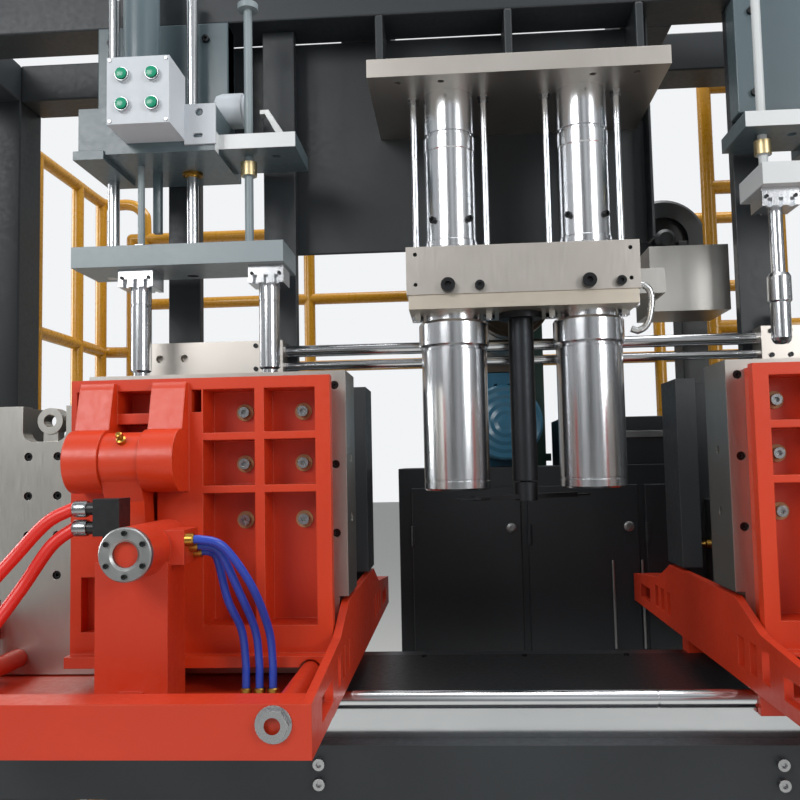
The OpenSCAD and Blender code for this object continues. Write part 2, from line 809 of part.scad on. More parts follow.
module carriage_frame(side) {
    y_in = platen_y + 4;
    color("#c43222") at_station(side) {
        along_x([lever_u - lever_w / 2 - 10, lever_foot_y, lever_foot_z], 15, lever_w + 20);
        difference() {
            union() {
                carriage_side(-car_half);
                carriage_side(car_half - side_t);
                for (s = [-1, 1]) {
                    block([-car_half + eps, s * end_beam_y - (s < 0 ? end_beam_w : 0), car_low],
                        [car_half - eps, s * end_beam_y + (s > 0 ? end_beam_w : 0), car_low + 78]);
                    along_y([s * guide_rod_u, -end_beam_y - eps, guide_rod_z], guide_rod_r, 2 * end_beam_y + 2 * eps);
                    for (u = [-car_half + 75, car_half - 75])
                        carriage_bearing(u, s * bed_gap);
                }
                block([-car_half + eps, -face_y - 75, car_low], [car_half - eps, -y_in, member_top]);
                block([-car_half + eps, y_in, car_low], [car_half - eps, face_y + 20, member_top]);
                for (u = [lever_u - lever_w / 2 - 22, lever_u + lever_w / 2 + 1])
                    block([u, lever_foot_y - 30, car_low + eps], [u + 21, lever_foot_y + 30, casting_low - part_gap]);
                block([-100, pedestal_y - 90, car_low], [20, pedestal_y, cyl_axis_z - 20]);
                block([-60, -end_beam_y - eps, car_low], [-20, pedestal_y - 80, car_low + 60]);
                block([-60, pedestal_y - eps, car_low], [-20, -face_y - 10, member_top]);
                along_y([cyl_axis_u, pedestal_y - 160, cyl_axis_z], clamp_cyl_r, clamp_cyl_len);
                block([cyl_axis_u - 64, pedestal_y - 80, cyl_axis_z - 26], [cyl_axis_u - 30, pedestal_y - 4, cyl_axis_z + 30]);
            }
            block([lever_u - lever_w / 2 - 1, -face_y - 21, car_low - eps],
                [lever_u + lever_w / 2 + 1, -casting_y - 45, member_top + eps]);
            along_y([cyl_axis_u, pedestal_y - 145, cyl_axis_z], clamp_rod_r + run_gap, clamp_cyl_len);
        }
    }
}

// Ground steel platen: upper plate over the side frames, foot between them, thick inner cheek,
// a rounded notch with a hub at the outer corner, and counterbored holes.
step_u = 160;
outer_drop = 56;
notch_u = [207, 296];
notch_drop = 71;
notch_r = 20;
grid_u = [224, 284];
grid_pitch = 78;
inner_holes = [29, 184, 317];

module notch_cut(y0, y1) {
    top = platen_top - outer_drop;
    bottom = top - notch_drop;
    translate([0, y1, 0])
        rotate([90, 0, 0])
            linear_extrude(y1 - y0) {
                translate([notch_u[0], bottom + notch_r])
                    square([notch_u[1] - notch_u[0], notch_drop]);
                translate([notch_u[0] + notch_r, bottom])
                    square([notch_u[1] - notch_u[0] - 2 * notch_r, notch_drop]);
                for (u = [notch_u[0] + notch_r, notch_u[1] - notch_r])
                    translate([u, bottom + notch_r]) circle(r = notch_r);
            }
}

module platen_plate() {
    foot_half = car_half - side_t - part_gap;
    block([-foot_half, -casting_y, member_top + part_gap], [foot_half, -platen_y, platen_low + eps]);
    block([-car_half, -casting_y, platen_low], [step_u, -platen_y, platen_top]);
    block([step_u - eps, -casting_y, platen_low], [car_half, -platen_y, platen_top - outer_drop]);
}

module guide_rod_holes(y0, y1) {
    for (s = [-1, 1])
        along_y([s * guide_rod_u, y0, guide_rod_z], guide_rod_r + run_gap, y1 - y0);
}

module front_platen(side) {
    cbore = 8.5;
    color("#a8a6a0") at_station(side) {
        difference() {
            union() {
                platen_plate();
                block([-car_half, -platen_y - eps, platen_low], [-car_half + cheek_w, -cheek_y, platen_top]);
                block([car_half - cheek_w, -platen_y - eps, platen_low], [car_half, -cheek_y, platen_top - outer_drop]);
            }
            notch_cut(-casting_y - eps, -cheek_y + eps);
            guide_rod_holes(-casting_y - eps, -platen_y + eps);
            for (u = grid_u, k = [0:3])
                along_y([u, -casting_y - eps, platen_top - 157 - k * grid_pitch], cbore, 14);
            for (z = inner_holes)
                along_y([-car_half + 22, -casting_y - eps, platen_top - z], cbore, 14);
            for (z = [171, 291])
                along_x([-car_half - eps, -cheek_y - 70, platen_top - z], 9, 30);
        }
        difference() {
            union() {
                along_y([241, -casting_y + 2, platen_top - outer_drop - 30], 26, 36);
                block([226, -casting_y + 6, platen_top - outer_drop - notch_drop - eps],
                    [256, -casting_y + 34, platen_top - outer_drop - 40]);
            }
            along_y([241, -casting_y, platen_top - outer_drop - 30], 13, 50);
        }
    }
}

// Red casting on the platen's front: flanged frame, ribbed pockets, two lugs and the notch
// for the rocker lever. The lugs' outline sweeps up to the top flange.
cast_u0 = -338;
cast_u1 = 151;
rib_t = 14;
web_t = 25;
lip_t = 25;
rib_z = [110, 208];
column_u = [[-310, -215], [-197, -100]];

module casting_pockets() {
    rows = [
        [casting_low + 70, casting_top - rib_z[1] - rib_t / 2],
        [casting_top - rib_z[1] + rib_t / 2, casting_top - rib_z[0] - rib_t / 2],
        [casting_top - rib_z[0] + rib_t / 2, casting_top - 22]
    ];
    for (c = column_u, r = rows)
        block([c[0], -face_y - eps, r[0]], [c[1], -casting_y - web_t, r[1]]);
    for (w = [[93, 140], [-9, 62], [-97, -78]])
        block([w[0], -face_y - eps, casting_top - 64], [w[1], -casting_y - web_t, casting_top - 22]);
    block([78, -face_y - eps, casting_low + 60], [130, -casting_y - 70, casting_low + 160]);
}

module lug(u) {
    top = casting_top - 8;
    difference() {
        translate([u, 0, 0])
            rotate([90, 0, 90])
                linear_extrude(lug_w)
                    difference() {
                        union() {
                            translate([lever_pin_y, lever_pin_z]) circle(r = lug_r, $fn = 64);
                            translate([lever_pin_y, lever_pin_z - lug_r])
                                square([-casting_y - lever_pin_y - 5, 2 * lug_r]);
                            polygon([
                                [-face_y + 4, lever_pin_z], [lever_pin_y, lever_pin_z + lug_r],
                                [-face_y - 16, top], [-casting_y - 10, top], [-casting_y - 10, lever_pin_z]
                            ]);
                        }
                        translate([-face_y - 62, casting_top + 2]) circle(r = 48, $fn = 64);
                    }
    }
}

module front_casting(side) {
    notch_u0 = lever_u - lever_w / 2 - 5;
    notch_u1 = lever_u + lever_w / 2 + 5;
    color("#d23a20") at_station(side) {
        difference() {
            union() {
                block([cast_u0 + 18, -face_y, casting_low], [cast_u1, -casting_y, casting_top]);
                block([cast_u0, -face_y, casting_low], [cast_u0 + 18 + eps, -face_y + lip_t, casting_top]);
                block([cast_u0, -face_y - 25, casting_low], [cast_u1, -face_y + eps, casting_low + 20]);
            }
            casting_pockets();
            for (s = [-1, 1])
                along_y([s * guide_rod_u, -face_y - 26, guide_rod_z], guide_rod_r + part_gap, casting_t + 30);
            block([notch_u0, -face_y - 26, casting_low - eps], [notch_u1, -casting_y - 45, lever_pin_z + lug_r + 12]);
        }
        difference() {
            union() {
                lug(lever_u + lever_w / 2 + 0.5);
                lug(lever_u - lever_w / 2 - lug_w - 0.5);
            }
            for (w = [[93, 140], [-97, -78]])
                block([w[0], -face_y + 30, casting_top - 64], [w[1], -casting_y - web_t, casting_top - 22]);
        }
        along_x([lever_u - lever_w / 2 - 10, lever_pin_y, lever_pin_z], lever_pin_d / 2, lever_w + 20);
        along_y([cyl_axis_u, pedestal_y - 130, cyl_axis_z], clamp_rod_r, -casting_y - web_t + 5 - pedestal_y + 130);
    }
}

// Rocker lever between the lugs: a slotted upper eye, a waisted arm and a lower eye.
eye_r = 52;
lower_eye_r = 28;

module rocker_lever(side) {
    rise = lever_pin_z - lever_foot_z;
    lean = atan2(lever_foot_y - lever_pin_y, rise);
    reach = norm([lever_foot_y - lever_pin_y, rise]);
    slot = 5;
    color("#cf3b22") at_station(side)
        translate([lever_u - lever_w / 2, lever_foot_y, lever_foot_z])
            rotate([lean, 0, 0])
                rotate([90, 0, 90])
                    difference() {
                        union() {
                            linear_extrude(lever_w) {
                                translate([0, reach]) circle(r = eye_r, $fn = 64);
                                circle(r = lower_eye_r);
                                polygon([[-24, 0], [24, 0], [24, reach - 70], [44, reach - 26],
                                    [-44, reach - 26], [-24, reach - 70]]);
                            }
                        }
                        translate([0, 0, -eps])
                            linear_extrude(lever_w + 2 * eps) {
                                for (d = [-slot, slot])
                                    translate([0, reach + d]) circle(r = lever_pin_d / 2 + 0.5);
                                translate([-lever_pin_d / 2 - 0.5, reach - slot]) square([lever_pin_d + 1, 2 * slot]);
                                circle(r = 15 + run_gap);
                            }
                    }
}

// Mould half with two container cavities and the neck bores that the pins enter.
cavity_w = 190;
cavity_h = 250;
cavity_depth = 62;
neck_r = 27;

module mould_half(dir) {
    low = mould_top - mould_h;
    mirror([0, dir > 0 ? 1 : 0, 0])
        difference() {
            block([-mould_half, -platen_y, low], [mould_half, -mould_face, mould_top]);
            for (u = [-pin_pitch / 2, pin_pitch / 2]) {
                translate([u, -mould_face + 0.5, low + 35]) {
                    difference() {
                        translate([-cavity_w / 2, -cavity_depth, 0]) cube([cavity_w, cavity_depth, cavity_h]);
                        for (e = [-1, 1])
                            translate([e * cavity_w / 2, -cavity_depth, -eps])
                                cylinder(r = 22, h = cavity_h + 2 * eps);
                    }
                }
                along_z([u, -mould_face, low + 35 + cavity_h - eps], neck_r, mould_h);
            }
            for (z = [low + 70, low + 240])
                along_x([-mould_half - eps, -mould_face - 80, z], 8, 40);
        }
}

module front_mould(side) {
    color("#9aa0a4") at_station(side) mould_half(-1);
}

module rear_mould(side) {
    color("#9aa0a4") at_station(side) mould_half(1);
}

// Rear platen: plate and ribbed casting in one piece.
module rear_platen(side) {
    color("#b83323") at_station(side)
        mirror([0, 1, 0])
            difference() {
                union() {
                    platen_plate();
                    block([-car_half, -platen_y - eps, platen_low], [-car_half + cheek_w, -cheek_y, platen_top]);
                    block([-mould_half, -casting_y - 80, platen_low], [mould_half, -casting_y + eps, platen_top - 70]);
                }
                guide_rod_holes(-casting_y - eps, -platen_y + eps);
                for (u = [-mould_half + 20 : 132 : mould_half - 100], z = [20, 130, 240])
                    block([u, -casting_y - 80 - eps, platen_low + z], [u + 106, -casting_y - 12, platen_low + z + 90]);
            }
}

// Valve block on the left pedestal, and the hoses of the left carriage.
valve_u = [-8, 37];
valve_z = [lever_foot_z + 280, lever_foot_z + 342];
valve_y = pedestal_y - 60;
fitting_len = 18;
fitting_r = 11;
hose_ports = [13, 45];

module valve_block() {
    color("#202224") at_station(-1) {
        block([valve_u[0], valve_y, cyl_axis_z - 20], [20, valve_y + 36, valve_z[0] + eps]);
        block([valve_u[0], valve_y, valve_z[0]], [valve_u[1], valve_y + 50, valve_z[1]]);
        for (z = hose_ports)
            along_x([valve_u[1] - eps, valve_y + 25, valve_z[0] + z], fitting_r, fitting_len + eps);
    }
}

// The red hoses run from the valve block's fittings down to the carriage's front beam.
hose_r = 11;
hose_gap = 0.1;
red_start = valve_u[1] + fitting_len + hose_gap;
hose_y = valve_y + 25;
beam_top = car_low + 78;
red_routes = [
    [[red_start, hose_y, valve_z[0] + hose_ports[1]], [82, hose_y, valve_z[0] + hose_ports[1]], [126, -510, 1312],
     [180, -520, 1252], [232, -555, 1182], [272, -605, 1122], [290, -655, 1092], [290, -668, 1080],
     [290, -668, beam_top + hose_gap]],
    [[red_start, hose_y, valve_z[0] + hose_ports[0]], [78, hose_y, valve_z[0] + hose_ports[0]], [116, -512, 1274],
     [160, -524, 1206], [198, -560, 1140], [226, -608, 1102], [240, -655, 1090], [240, -668, 1080],
     [240, -668, beam_top + hose_gap]]
];

module red_hoses() {
    color("#e02418") at_station(-1)
        for (route = red_routes)
            hose(route, hose_r, [0, 1, 0]);
}

blue_r = 7;
blue_start = cyl_axis_u - 64 - hose_gap;
blue_routes = [
    for (k = [0:2])
        let (y = -540 + 24 * k, z = 1284 - 12 * k, u = -238 + 24 * k)
        [[blue_start, y, z], [-146, y, z], [u / 2 - 64, y + 12, z - 14], [u + 16, y / 2 - 224, z - 84],
         [u + 2, -432, 1118], [u, -412, 1062], [u, -410, 1030], [u, -410, member_top + hose_gap]]
];

module blue_hoses() {
    color("#2e4fc0") at_station(-1)
        for (route = blue_routes)
            hose(route, blue_r, [0, 1, 0]);
}

base_frame();
levelling_feet();
front_guide_bar();
rear_rail();
deck_plate();
portal_frame();
guard_rail();
head_top_plate();
head_tie_rods();
parison_cylinder(-1);  // parison_cylinder_left
parison_cylinder(1);  // parison_cylinder_right
die_plate();
head_clamp_plate();
die_head(-1);  // die_head_left
die_head(1);  // die_head_right
mandrel(-1);  // mandrel_left
mandrel(1);  // mandrel_right
melt_manifold();
extruder_barrel();
heater_bands();
gearbox();
drive_motor();
feed_hopper();
heat_shield();
cutter_bearing();
cutter_arm();
transfer_bars();
transfer_blocks();
button_box();
push_button(0, 0);  // button_1
push_button(1, 0);  // button_2
push_button(0, 1);  // button_3
push_button(1, 1);  // button_4
control_cabinet();
cabinet_door();
blow_casting(-1);  // blow_casting_left
blow_casting(1);  // blow_casting_right
moving_plate(-1);  // moving_plate_left
moving_plate(1);  // moving_plate_right
guide_columns(-1);  // guide_columns_left
guide_columns(1);  // guide_columns_right
blow_pins(-1);  // blow_pins_left
blow_pins(1);  // blow_pins_right
carriage_frame(-1);  // carriage_frame_left
carriage_frame(1);  // carriage_frame_right
front_platen(-1);  // front_platen_left
front_platen(1);  // front_platen_right
front_casting(-1);  // front_casting_left
front_casting(1);  // front_casting_right
front_mould(-1);  // front_mould_left
front_mould(1);  // front_mould_right
rear_platen(-1);  // rear_platen_left
rear_platen(1);  // rear_platen_right
rear_mould(-1);  // rear_mould_left
rear_mould(1);  // rear_mould_right
rocker_lever(-1);  // rocker_lever_left
rocker_lever(1);  // rocker_lever_right
valve_block();
red_hoses();
blue_hoses();
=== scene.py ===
import bpy
import bmesh
import math
from mathutils import Matrix, Vector


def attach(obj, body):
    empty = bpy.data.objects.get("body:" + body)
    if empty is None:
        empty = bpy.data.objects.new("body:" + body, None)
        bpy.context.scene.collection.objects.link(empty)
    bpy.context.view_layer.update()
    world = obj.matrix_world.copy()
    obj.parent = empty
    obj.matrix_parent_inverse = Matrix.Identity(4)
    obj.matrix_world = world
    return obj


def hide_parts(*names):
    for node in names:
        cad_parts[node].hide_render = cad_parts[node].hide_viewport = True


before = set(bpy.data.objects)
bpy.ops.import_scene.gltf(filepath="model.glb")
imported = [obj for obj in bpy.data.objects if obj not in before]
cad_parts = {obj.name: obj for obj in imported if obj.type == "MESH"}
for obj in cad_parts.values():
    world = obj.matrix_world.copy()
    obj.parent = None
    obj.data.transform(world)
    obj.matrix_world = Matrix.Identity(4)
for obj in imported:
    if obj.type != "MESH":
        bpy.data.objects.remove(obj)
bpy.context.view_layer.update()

scene = bpy.context.scene

# Camera.
# A short standing view from the operator's side, between the two stations,
# looking slightly left and up, with the lens of a phone held almost level.
camera_data = bpy.data.cameras.new("view")
camera_data.sensor_width = 36.0
camera_data.lens = 36.0 * 870.0 / 800.0
camera = bpy.data.objects.new("view", camera_data)
scene.collection.objects.link(camera)
scene.camera = camera
yaw, pitch, roll = math.radians(3.6), math.radians(4.2), math.radians(1.17)
forward = Vector((-math.sin(yaw) * math.cos(pitch), math.cos(yaw) * math.cos(pitch), math.sin(pitch)))
level = Vector((math.cos(yaw), math.sin(yaw), 0.0))
raised = level.cross(forward)
right = level * math.cos(roll) - raised * math.sin(roll)
up = level * math.sin(roll) + raised * math.cos(roll)
camera.matrix_world = Matrix((
    (right.x, up.x, -forward.x, -0.152),
    (right.y, up.y, -forward.y, -2.250),
    (right.z, up.z, -forward.z, 1.400),
    (0.0, 0.0, 0.0, 1.0)))


# Workshop floor and light.
# A pale sealed floor under a bright hall, with soft panels high in front and
# at both sides, as wide windows and roof lights give.
def linear(hex_colour):
    parts = [int(hex_colour[i:i + 2], 16) / 255 for i in (1, 3, 5)]
    return [p / 12.92 if p <= 0.04045 else ((p + 0.055) / 1.055) ** 2.4 for p in parts] + [1.0]


def add(tree, kind, inputs=None, **settings):
    made = tree.nodes.new(kind)
    for name, value in settings.items():
        setattr(made, name, value)
    for name, value in (inputs or {}).items():
        if isinstance(value, bpy.types.NodeSocket):
            tree.links.new(value, made.inputs[name])
        else:
            made.inputs[name].default_value = value
    return made


def calc(tree, operation, first, second=0.0):
    return add(tree, "ShaderNodeMath", {0: first, 1: second}, operation=operation).outputs[0]


def ranged(tree, value, start, stop, low, high):
    limits = {"Value": value, "From Min": start, "From Max": stop, "To Min": low, "To Max": high}
    return add(tree, "ShaderNodeMapRange", limits).outputs[0]


def new_material(name):
    made = bpy.data.materials.new(name)
    made.use_nodes = True
    made.node_tree.nodes.clear()
    return made, made.node_tree


floor_mesh = bpy.data.meshes.new("floor")
corners = [(-30, -30, -0.001), (30, -30, -0.001), (30, 30, -0.001), (-30, 30, -0.001)]
floor_mesh.from_pydata(corners, [], [(0, 1, 2, 3)])
floor = bpy.data.objects.new("floor", floor_mesh)
scene.collection.objects.link(floor)
floor_paint, tree = new_material("sealed_floor")
pale = add(tree, "ShaderNodeBsdfPrincipled", {"Base Color": linear("#D8D8D4"), "Roughness": 0.7})
add(tree, "ShaderNodeOutputMaterial", {"Surface": pale.outputs[0]})
floor_mesh.materials.append(floor_paint)

hall = bpy.data.worlds.new("hall")
scene.world = hall
hall.use_nodes = True
tree = hall.node_tree
tree.nodes.clear()
path = add(tree, "ShaderNodeLightPath").outputs
direct = calc(tree, "MAXIMUM", path["Is Camera Ray"], path["Is Transmission Ray"])
lit = add(tree, "ShaderNodeBackground", {"Color": linear("#EEF1F4"), "Strength": 0.42})
shown = add(tree, "ShaderNodeBackground", {"Color": linear("#F2F4F6"), "Strength": 1.0})
axes = add(tree, "ShaderNodeSeparateXYZ", {0: add(tree, "ShaderNodeTexCoord").outputs["Generated"]}).outputs
height = ranged(tree, axes["Z"], -0.25, 0.6, 0.12, 1.0)
around = add(tree, "ShaderNodeCombineXYZ", {"X": axes["X"], "Y": axes["Y"]})
windows = add(tree, "ShaderNodeTexNoise", {"Vector": around.outputs[0], "Scale": 2.3, "Detail": 1.0})
bays = ranged(tree, windows.outputs["Fac"], 0.38, 0.62, 0.22, 1.15)
gloss_strength = calc(tree, "MULTIPLY", height, bays)
gloss = add(tree, "ShaderNodeBackground", {"Color": linear("#F2F4F6"), "Strength": gloss_strength})
with_gloss = add(tree, "ShaderNodeMixShader", {0: path["Is Glossy Ray"], 1: lit.outputs[0],
                                               2: gloss.outputs[0]})
all_rays = add(tree, "ShaderNodeMixShader", {0: direct, 1: with_gloss.outputs[0], 2: shown.outputs[0]})
add(tree, "ShaderNodeOutputWorld", {"Surface": all_rays.outputs[0]})


def soft_panel(name, place, target, size, power):
    data = bpy.data.lights.new(name, "AREA")
    data.shape = "RECTANGLE"
    data.size, data.size_y = size
    data.energy = power
    panel = bpy.data.objects.new(name, data)
    panel.location = place
    panel.rotation_euler = (Vector(target) - Vector(place)).to_track_quat("-Z", "Y").to_euler()
    scene.collection.objects.link(panel)


soft_panel("front_left_panel", (-2.6, -4.2, 3.6), (0, 0, 1.4), (2.2, 1.6), 95)
soft_panel("front_right_panel", (3.0, -3.8, 2.8), (0.2, 0, 1.4), (1.2, 2.0), 75)
soft_panel("left_window", (-4.6, 0.6, 2.6), (0, 0, 1.5), (1.6, 2.4), 100)
soft_panel("roof_light", (0.4, 0.2, 5.0), (0, 0, 1.2), (3.2, 2.4), 130)


# Materials that several pieces share are made where the first piece needs them.
# Base frame: welded square tube with posts, painted near-black, on zinc-plated
# screw feet. The bed's deck is folded sheet in a darker satin paint.
def coarse(tree, metres, detail=3.0, roughness=0.55, stretch=(1, 1, 1)):
    place = add(tree, "ShaderNodeTexCoord").outputs["Object"]
    scaled = add(tree, "ShaderNodeMapping", {"Vector": place, "Scale": stretch}).outputs[0]
    grain = {"Vector": scaled, "Scale": 1.0 / metres, "Detail": detail, "Roughness": roughness}
    return add(tree, "ShaderNodeTexNoise", grain).outputs["Fac"]


def mixed(tree, factor, first, second):
    return add(tree, "ShaderNodeMix", {0: factor, 6: first, 7: second}, data_type="RGBA").outputs[2]


def finished(made, tree, inputs):
    shader = add(tree, "ShaderNodeBsdfPrincipled", inputs)
    add(tree, "ShaderNodeOutputMaterial", {"Surface": shader.outputs[0]})
    return made


def painted(name, colour, shade, rubbed_and_highlight, roughness, peel, coat=0.0, edge=0.0015):
    made, tree = new_material(name)
    speck = coarse(tree, 0.012, 2.0)
    patches = ranged(tree, coarse(tree, 0.35, 4.0), 0.35, 0.7, 0.0, 0.45)
    body = mixed(tree, patches, linear(colour), linear(shade))
    soft = add(tree, "ShaderNodeBevel", {"Radius": edge}, samples=4).outputs[0]
    flat = add(tree, "ShaderNodeNewGeometry").outputs["Normal"]
    corner = add(tree, "ShaderNodeVectorMath", {0: soft, 1: flat}, operation="DOT_PRODUCT").outputs["Value"]
    # Edges are mixed toward the lighter rubbed colour. This is partly real paint wear and partly a painted
    # highlight along rounded edges.
    edge_wear_and_highlight = calc(tree, "MULTIPLY", ranged(tree, corner, 0.97, 0.75, 0.0, 0.85), speck)
    peeled = {"Strength": 0.12, "Distance": 0.0004, "Height": coarse(tree, peel, 2.0), "Normal": soft}
    skin = add(tree, "ShaderNodeBump", peeled)
    return finished(made, tree, {
        "Base Color": mixed(tree, edge_wear_and_highlight, body, linear(rubbed_and_highlight)), "Normal": skin.outputs[0], "IOR": 1.5,
        "Roughness": ranged(tree, speck, 0.3, 0.75, roughness - 0.04, roughness + 0.08),
        "Coat Weight": coat, "Coat Roughness": 0.12})


def metal(name, colour, shade, low, high, stretch, marks, depth=0.00003, strength=0.1, edge=0.0008):
    made, tree = new_material(name)
    patches = ranged(tree, coarse(tree, 0.22, 3.0), 0.3, 0.75, 0.0, 0.6)
    body = mixed(tree, patches, linear(colour), linear(shade))
    lines = coarse(tree, marks, 3.0, 0.6, stretch)
    soft = add(tree, "ShaderNodeBevel", {"Radius": edge}, samples=4).outputs[0]
    brushed = {"Strength": strength, "Distance": depth, "Height": lines, "Normal": soft}
    skin = add(tree, "ShaderNodeBump", brushed)
    return finished(made, tree, {"Base Color": body, "Normal": skin.outputs[0], "Metallic": 1.0,
                                 "Roughness": ranged(tree, lines, 0.25, 0.75, low, high)})


def dress(made, *nodes):
    for node in nodes:
        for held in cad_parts[node].material_slots:
            held.material = made


frame_paint = painted("satin_frame_paint", "#2A2F33", "#202427", "#565C60", 0.42, 0.004)
deck_paint = painted("satin_deck_paint", "#1B1D1F", "#131416", "#4A4C4E", 0.35, 0.005)
zinc = metal("zinc_plate", "#A9ABAA", "#77797A", 0.32, 0.5, (1, 1, 1), 0.02)
dress(frame_paint, "base_frame")
dress(deck_paint, "deck_plate", "valve_block")
dress(zinc, "levelling_feet")


# A cap screw is a turned head with a hex socket, drawn once in Geometry Nodes
# and repeated on a list of places, each with the direction that it faces.
def new_tree(name, sizes):
    tree = bpy.data.node_groups.new(name, "GeometryNodeTree")
    tree.interface.new_socket(name="Geometry", in_out="INPUT", socket_type="NodeSocketGeometry")
    for label in sizes:
        tree.interface.new_socket(name=label, in_out="INPUT", socket_type="NodeSocketFloat")
    tree.interface.new_socket(name="Finish", in_out="INPUT", socket_type="NodeSocketMaterial")
    tree.interface.new_socket(name="Geometry", in_out="OUTPUT", socket_type="NodeSocketGeometry")
    return tree, add(tree, "NodeGroupInput")


def on_places(tree, given, shape):
    facing = add(tree, "GeometryNodeInputNamedAttribute", {"Name": "facing"}, data_type="FLOAT_VECTOR")
    turn = add(tree, "FunctionNodeAlignRotationToVector", {"Vector": facing.outputs["Attribute"]}, axis="Z")
    many = add(tree, "GeometryNodeInstanceOnPoints", {"Points": given.outputs["Geometry"], "Instance": shape,
                                                      "Rotation": turn.outputs[0]})
    solid = add(tree, "GeometryNodeRealizeInstances", {"Geometry": many.outputs[0]})
    named = add(tree, "GeometryNodeSetMaterial", {"Geometry": solid.outputs[0],
                                                  "Material": given.outputs["Finish"]})
    add(tree, "NodeGroupOutput", {"Geometry": named.outputs[0]})


def lifted(tree, shape, height):
    up = add(tree, "ShaderNodeCombineXYZ", {"Z": height})
    return add(tree, "GeometryNodeTransform", {"Geometry": shape, "Translation": up.outputs[0]}).outputs[0]


cap_screws, given = new_tree("cap_screws", ["Head Radius", "Head Height"])
head_radius, head_height = given.outputs["Head Radius"], given.outputs["Head Height"]
head = add(cap_screws, "GeometryNodeMeshCylinder", {"Vertices": 20, "Radius": head_radius,
                                                    "Depth": head_height})
key_radius = calc(cap_screws, "MULTIPLY", head_radius, 0.5)
key = add(cap_screws, "GeometryNodeMeshCylinder", {"Vertices": 6, "Radius": key_radius, "Depth": head_height})
seated = lifted(cap_screws, head.outputs[0], calc(cap_screws, "MULTIPLY", head_height, 0.5))
raised_key = lifted(cap_screws, key.outputs[0], head_height)
socket = add(cap_screws, "GeometryNodeMeshBoolean", {"Mesh 1": seated, "Mesh 2": raised_key},
             operation="DIFFERENCE")
on_places(cap_screws, given, socket.outputs[0])


def repeat(name, tree, places, sizes, finish, body):
    dots = bpy.data.meshes.new(name)
    dots.from_pydata([place for place, facing in places], [], [])
    toward = dots.attributes.new("facing", "FLOAT_VECTOR", "POINT")
    for i, (place, facing) in enumerate(places):
        toward.data[i].vector = facing
    holder = bpy.data.objects.new(name + "_places", dots)
    scene.collection.objects.link(holder)
    pattern = holder.modifiers.new("pattern", "NODES")
    pattern.node_group = tree
    for item in tree.interface.items_tree:
        if item.in_out == "INPUT" and item.name in sizes:
            pattern[item.identifier] = sizes[item.name]
        if item.in_out == "INPUT" and item.name == "Finish":
            pattern[item.identifier] = finish
    result = bpy.data.meshes.new_from_object(holder.evaluated_get(bpy.context.evaluated_depsgraph_get()))
    bpy.data.objects.remove(holder)
    return settle(name, result, finish, body)


def settle(name, mesh, finish, body):
    mesh.materials.clear()
    mesh.materials.append(finish)
    piece = bpy.data.objects.new(name, mesh)
    scene.collection.objects.link(piece)
    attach(piece, body)
    return piece


def screws(name, places, radius, height, finish, body):
    return repeat(name, cap_screws, places, {"Head Radius": radius, "Head Height": height}, finish, body)


DOWN, UP, FRONT, REAR, RIGHT = (0, 0, -1), (0, 0, 1), (0, -1, 0), (0, 1, 0), (1, 0, 0)
SIDES = (("left", -1), ("right", 1))
STATION, HEAD_X, HEAD_Y = 0.72, 0.15, -0.3
black_oxide = metal("black_oxide_screw", "#3C3D3E", "#2A2B2C", 0.3, 0.42, (1, 1, 1), 0.004)
deck_screws = [((-1.2 + 0.24 * i, HEAD_Y + s * 0.185, 0.936), UP) for i in range(11) for s in (-1, 1)]
screws("deck_screws", deck_screws, 0.006, 0.004, black_oxide, "machine_frame")

# Frame fittings: lock nuts on the levelling feet, screws in the portal's foot bars
# and in the front bed beam over its posts, all zinc plated.
hex_nuts, given = new_tree("hex_nuts", ["Nut Radius", "Nut Height", "Bore Radius"])
nut_radius, nut_height = given.outputs["Nut Radius"], given.outputs["Nut Height"]
hexagon = add(hex_nuts, "GeometryNodeMeshCylinder", {"Vertices": 6, "Radius": nut_radius, "Depth": nut_height})
washer_radius = calc(hex_nuts, "MULTIPLY", nut_radius, 1.12)
washer = add(hex_nuts, "GeometryNodeMeshCylinder", {"Vertices": 24, "Radius": washer_radius, "Depth": 0.002})
stacked = add(hex_nuts, "GeometryNodeMeshBoolean", operation="UNION")
for part, rise in ((hexagon, calc(hex_nuts, "MULTIPLY", nut_height, 0.5)), (washer, 0.001)):
    hex_nuts.links.new(lifted(hex_nuts, part.outputs[0], rise), stacked.inputs["Mesh 2"])
bore = add(hex_nuts, "GeometryNodeMeshCylinder", {"Vertices": 20, "Radius": given.outputs["Bore Radius"],
                                                  "Depth": 0.2})
opened = add(hex_nuts, "GeometryNodeMeshBoolean", {"Mesh 1": stacked.outputs[0], "Mesh 2": bore.outputs[0]},
             operation="DIFFERENCE")
on_places(hex_nuts, given, opened.outputs[0])


def nuts(name, places, radius, height, bore_radius, finish, body):
    sizes = {"Nut Radius": radius, "Nut Height": height, "Bore Radius": bore_radius}
    return repeat(name, hex_nuts, places, sizes, finish, body)


bright_bolt = metal("bright_zinc_bolt", "#B9BABC", "#8F9194", 0.22, 0.36, (1, 1, 1), 0.005)

lock_nuts = [((x, y, 0.060), DOWN) for x in (-1.49, -0.42, 0.42, 1.49) for y in (-1.04, 1.04)]
nuts("foot_lock_nuts", lock_nuts, 0.025, 0.013, 0.0163, zinc, "machine_frame")
stand_bolts = [((s * x, y, 0.240), UP) for s in (-1, 1) for x in (1.45, 1.52) for y in (-0.51, -0.40, -0.29)]
stand_bolts += [((x, -0.600, z), FRONT) for x in (-1.2, -0.42, 0.42, 1.2) for z in (0.812, 0.848)]
screws("stand_bolts", stand_bolts, 0.011, 0.011, bright_bolt, "machine_frame")


# Plate work: bent, welded and machined plates are outlines pushed out along one
# direction, with drilled holes and broken edges.
def slab(low, high):
    (x0, y0, z0), (x1, y1, z1) = low, high
    return [(x0, y0, z0), (x1, y0, z0), (x1, y1, z0), (x0, y1, z0)], (0, 0, z1 - z0)


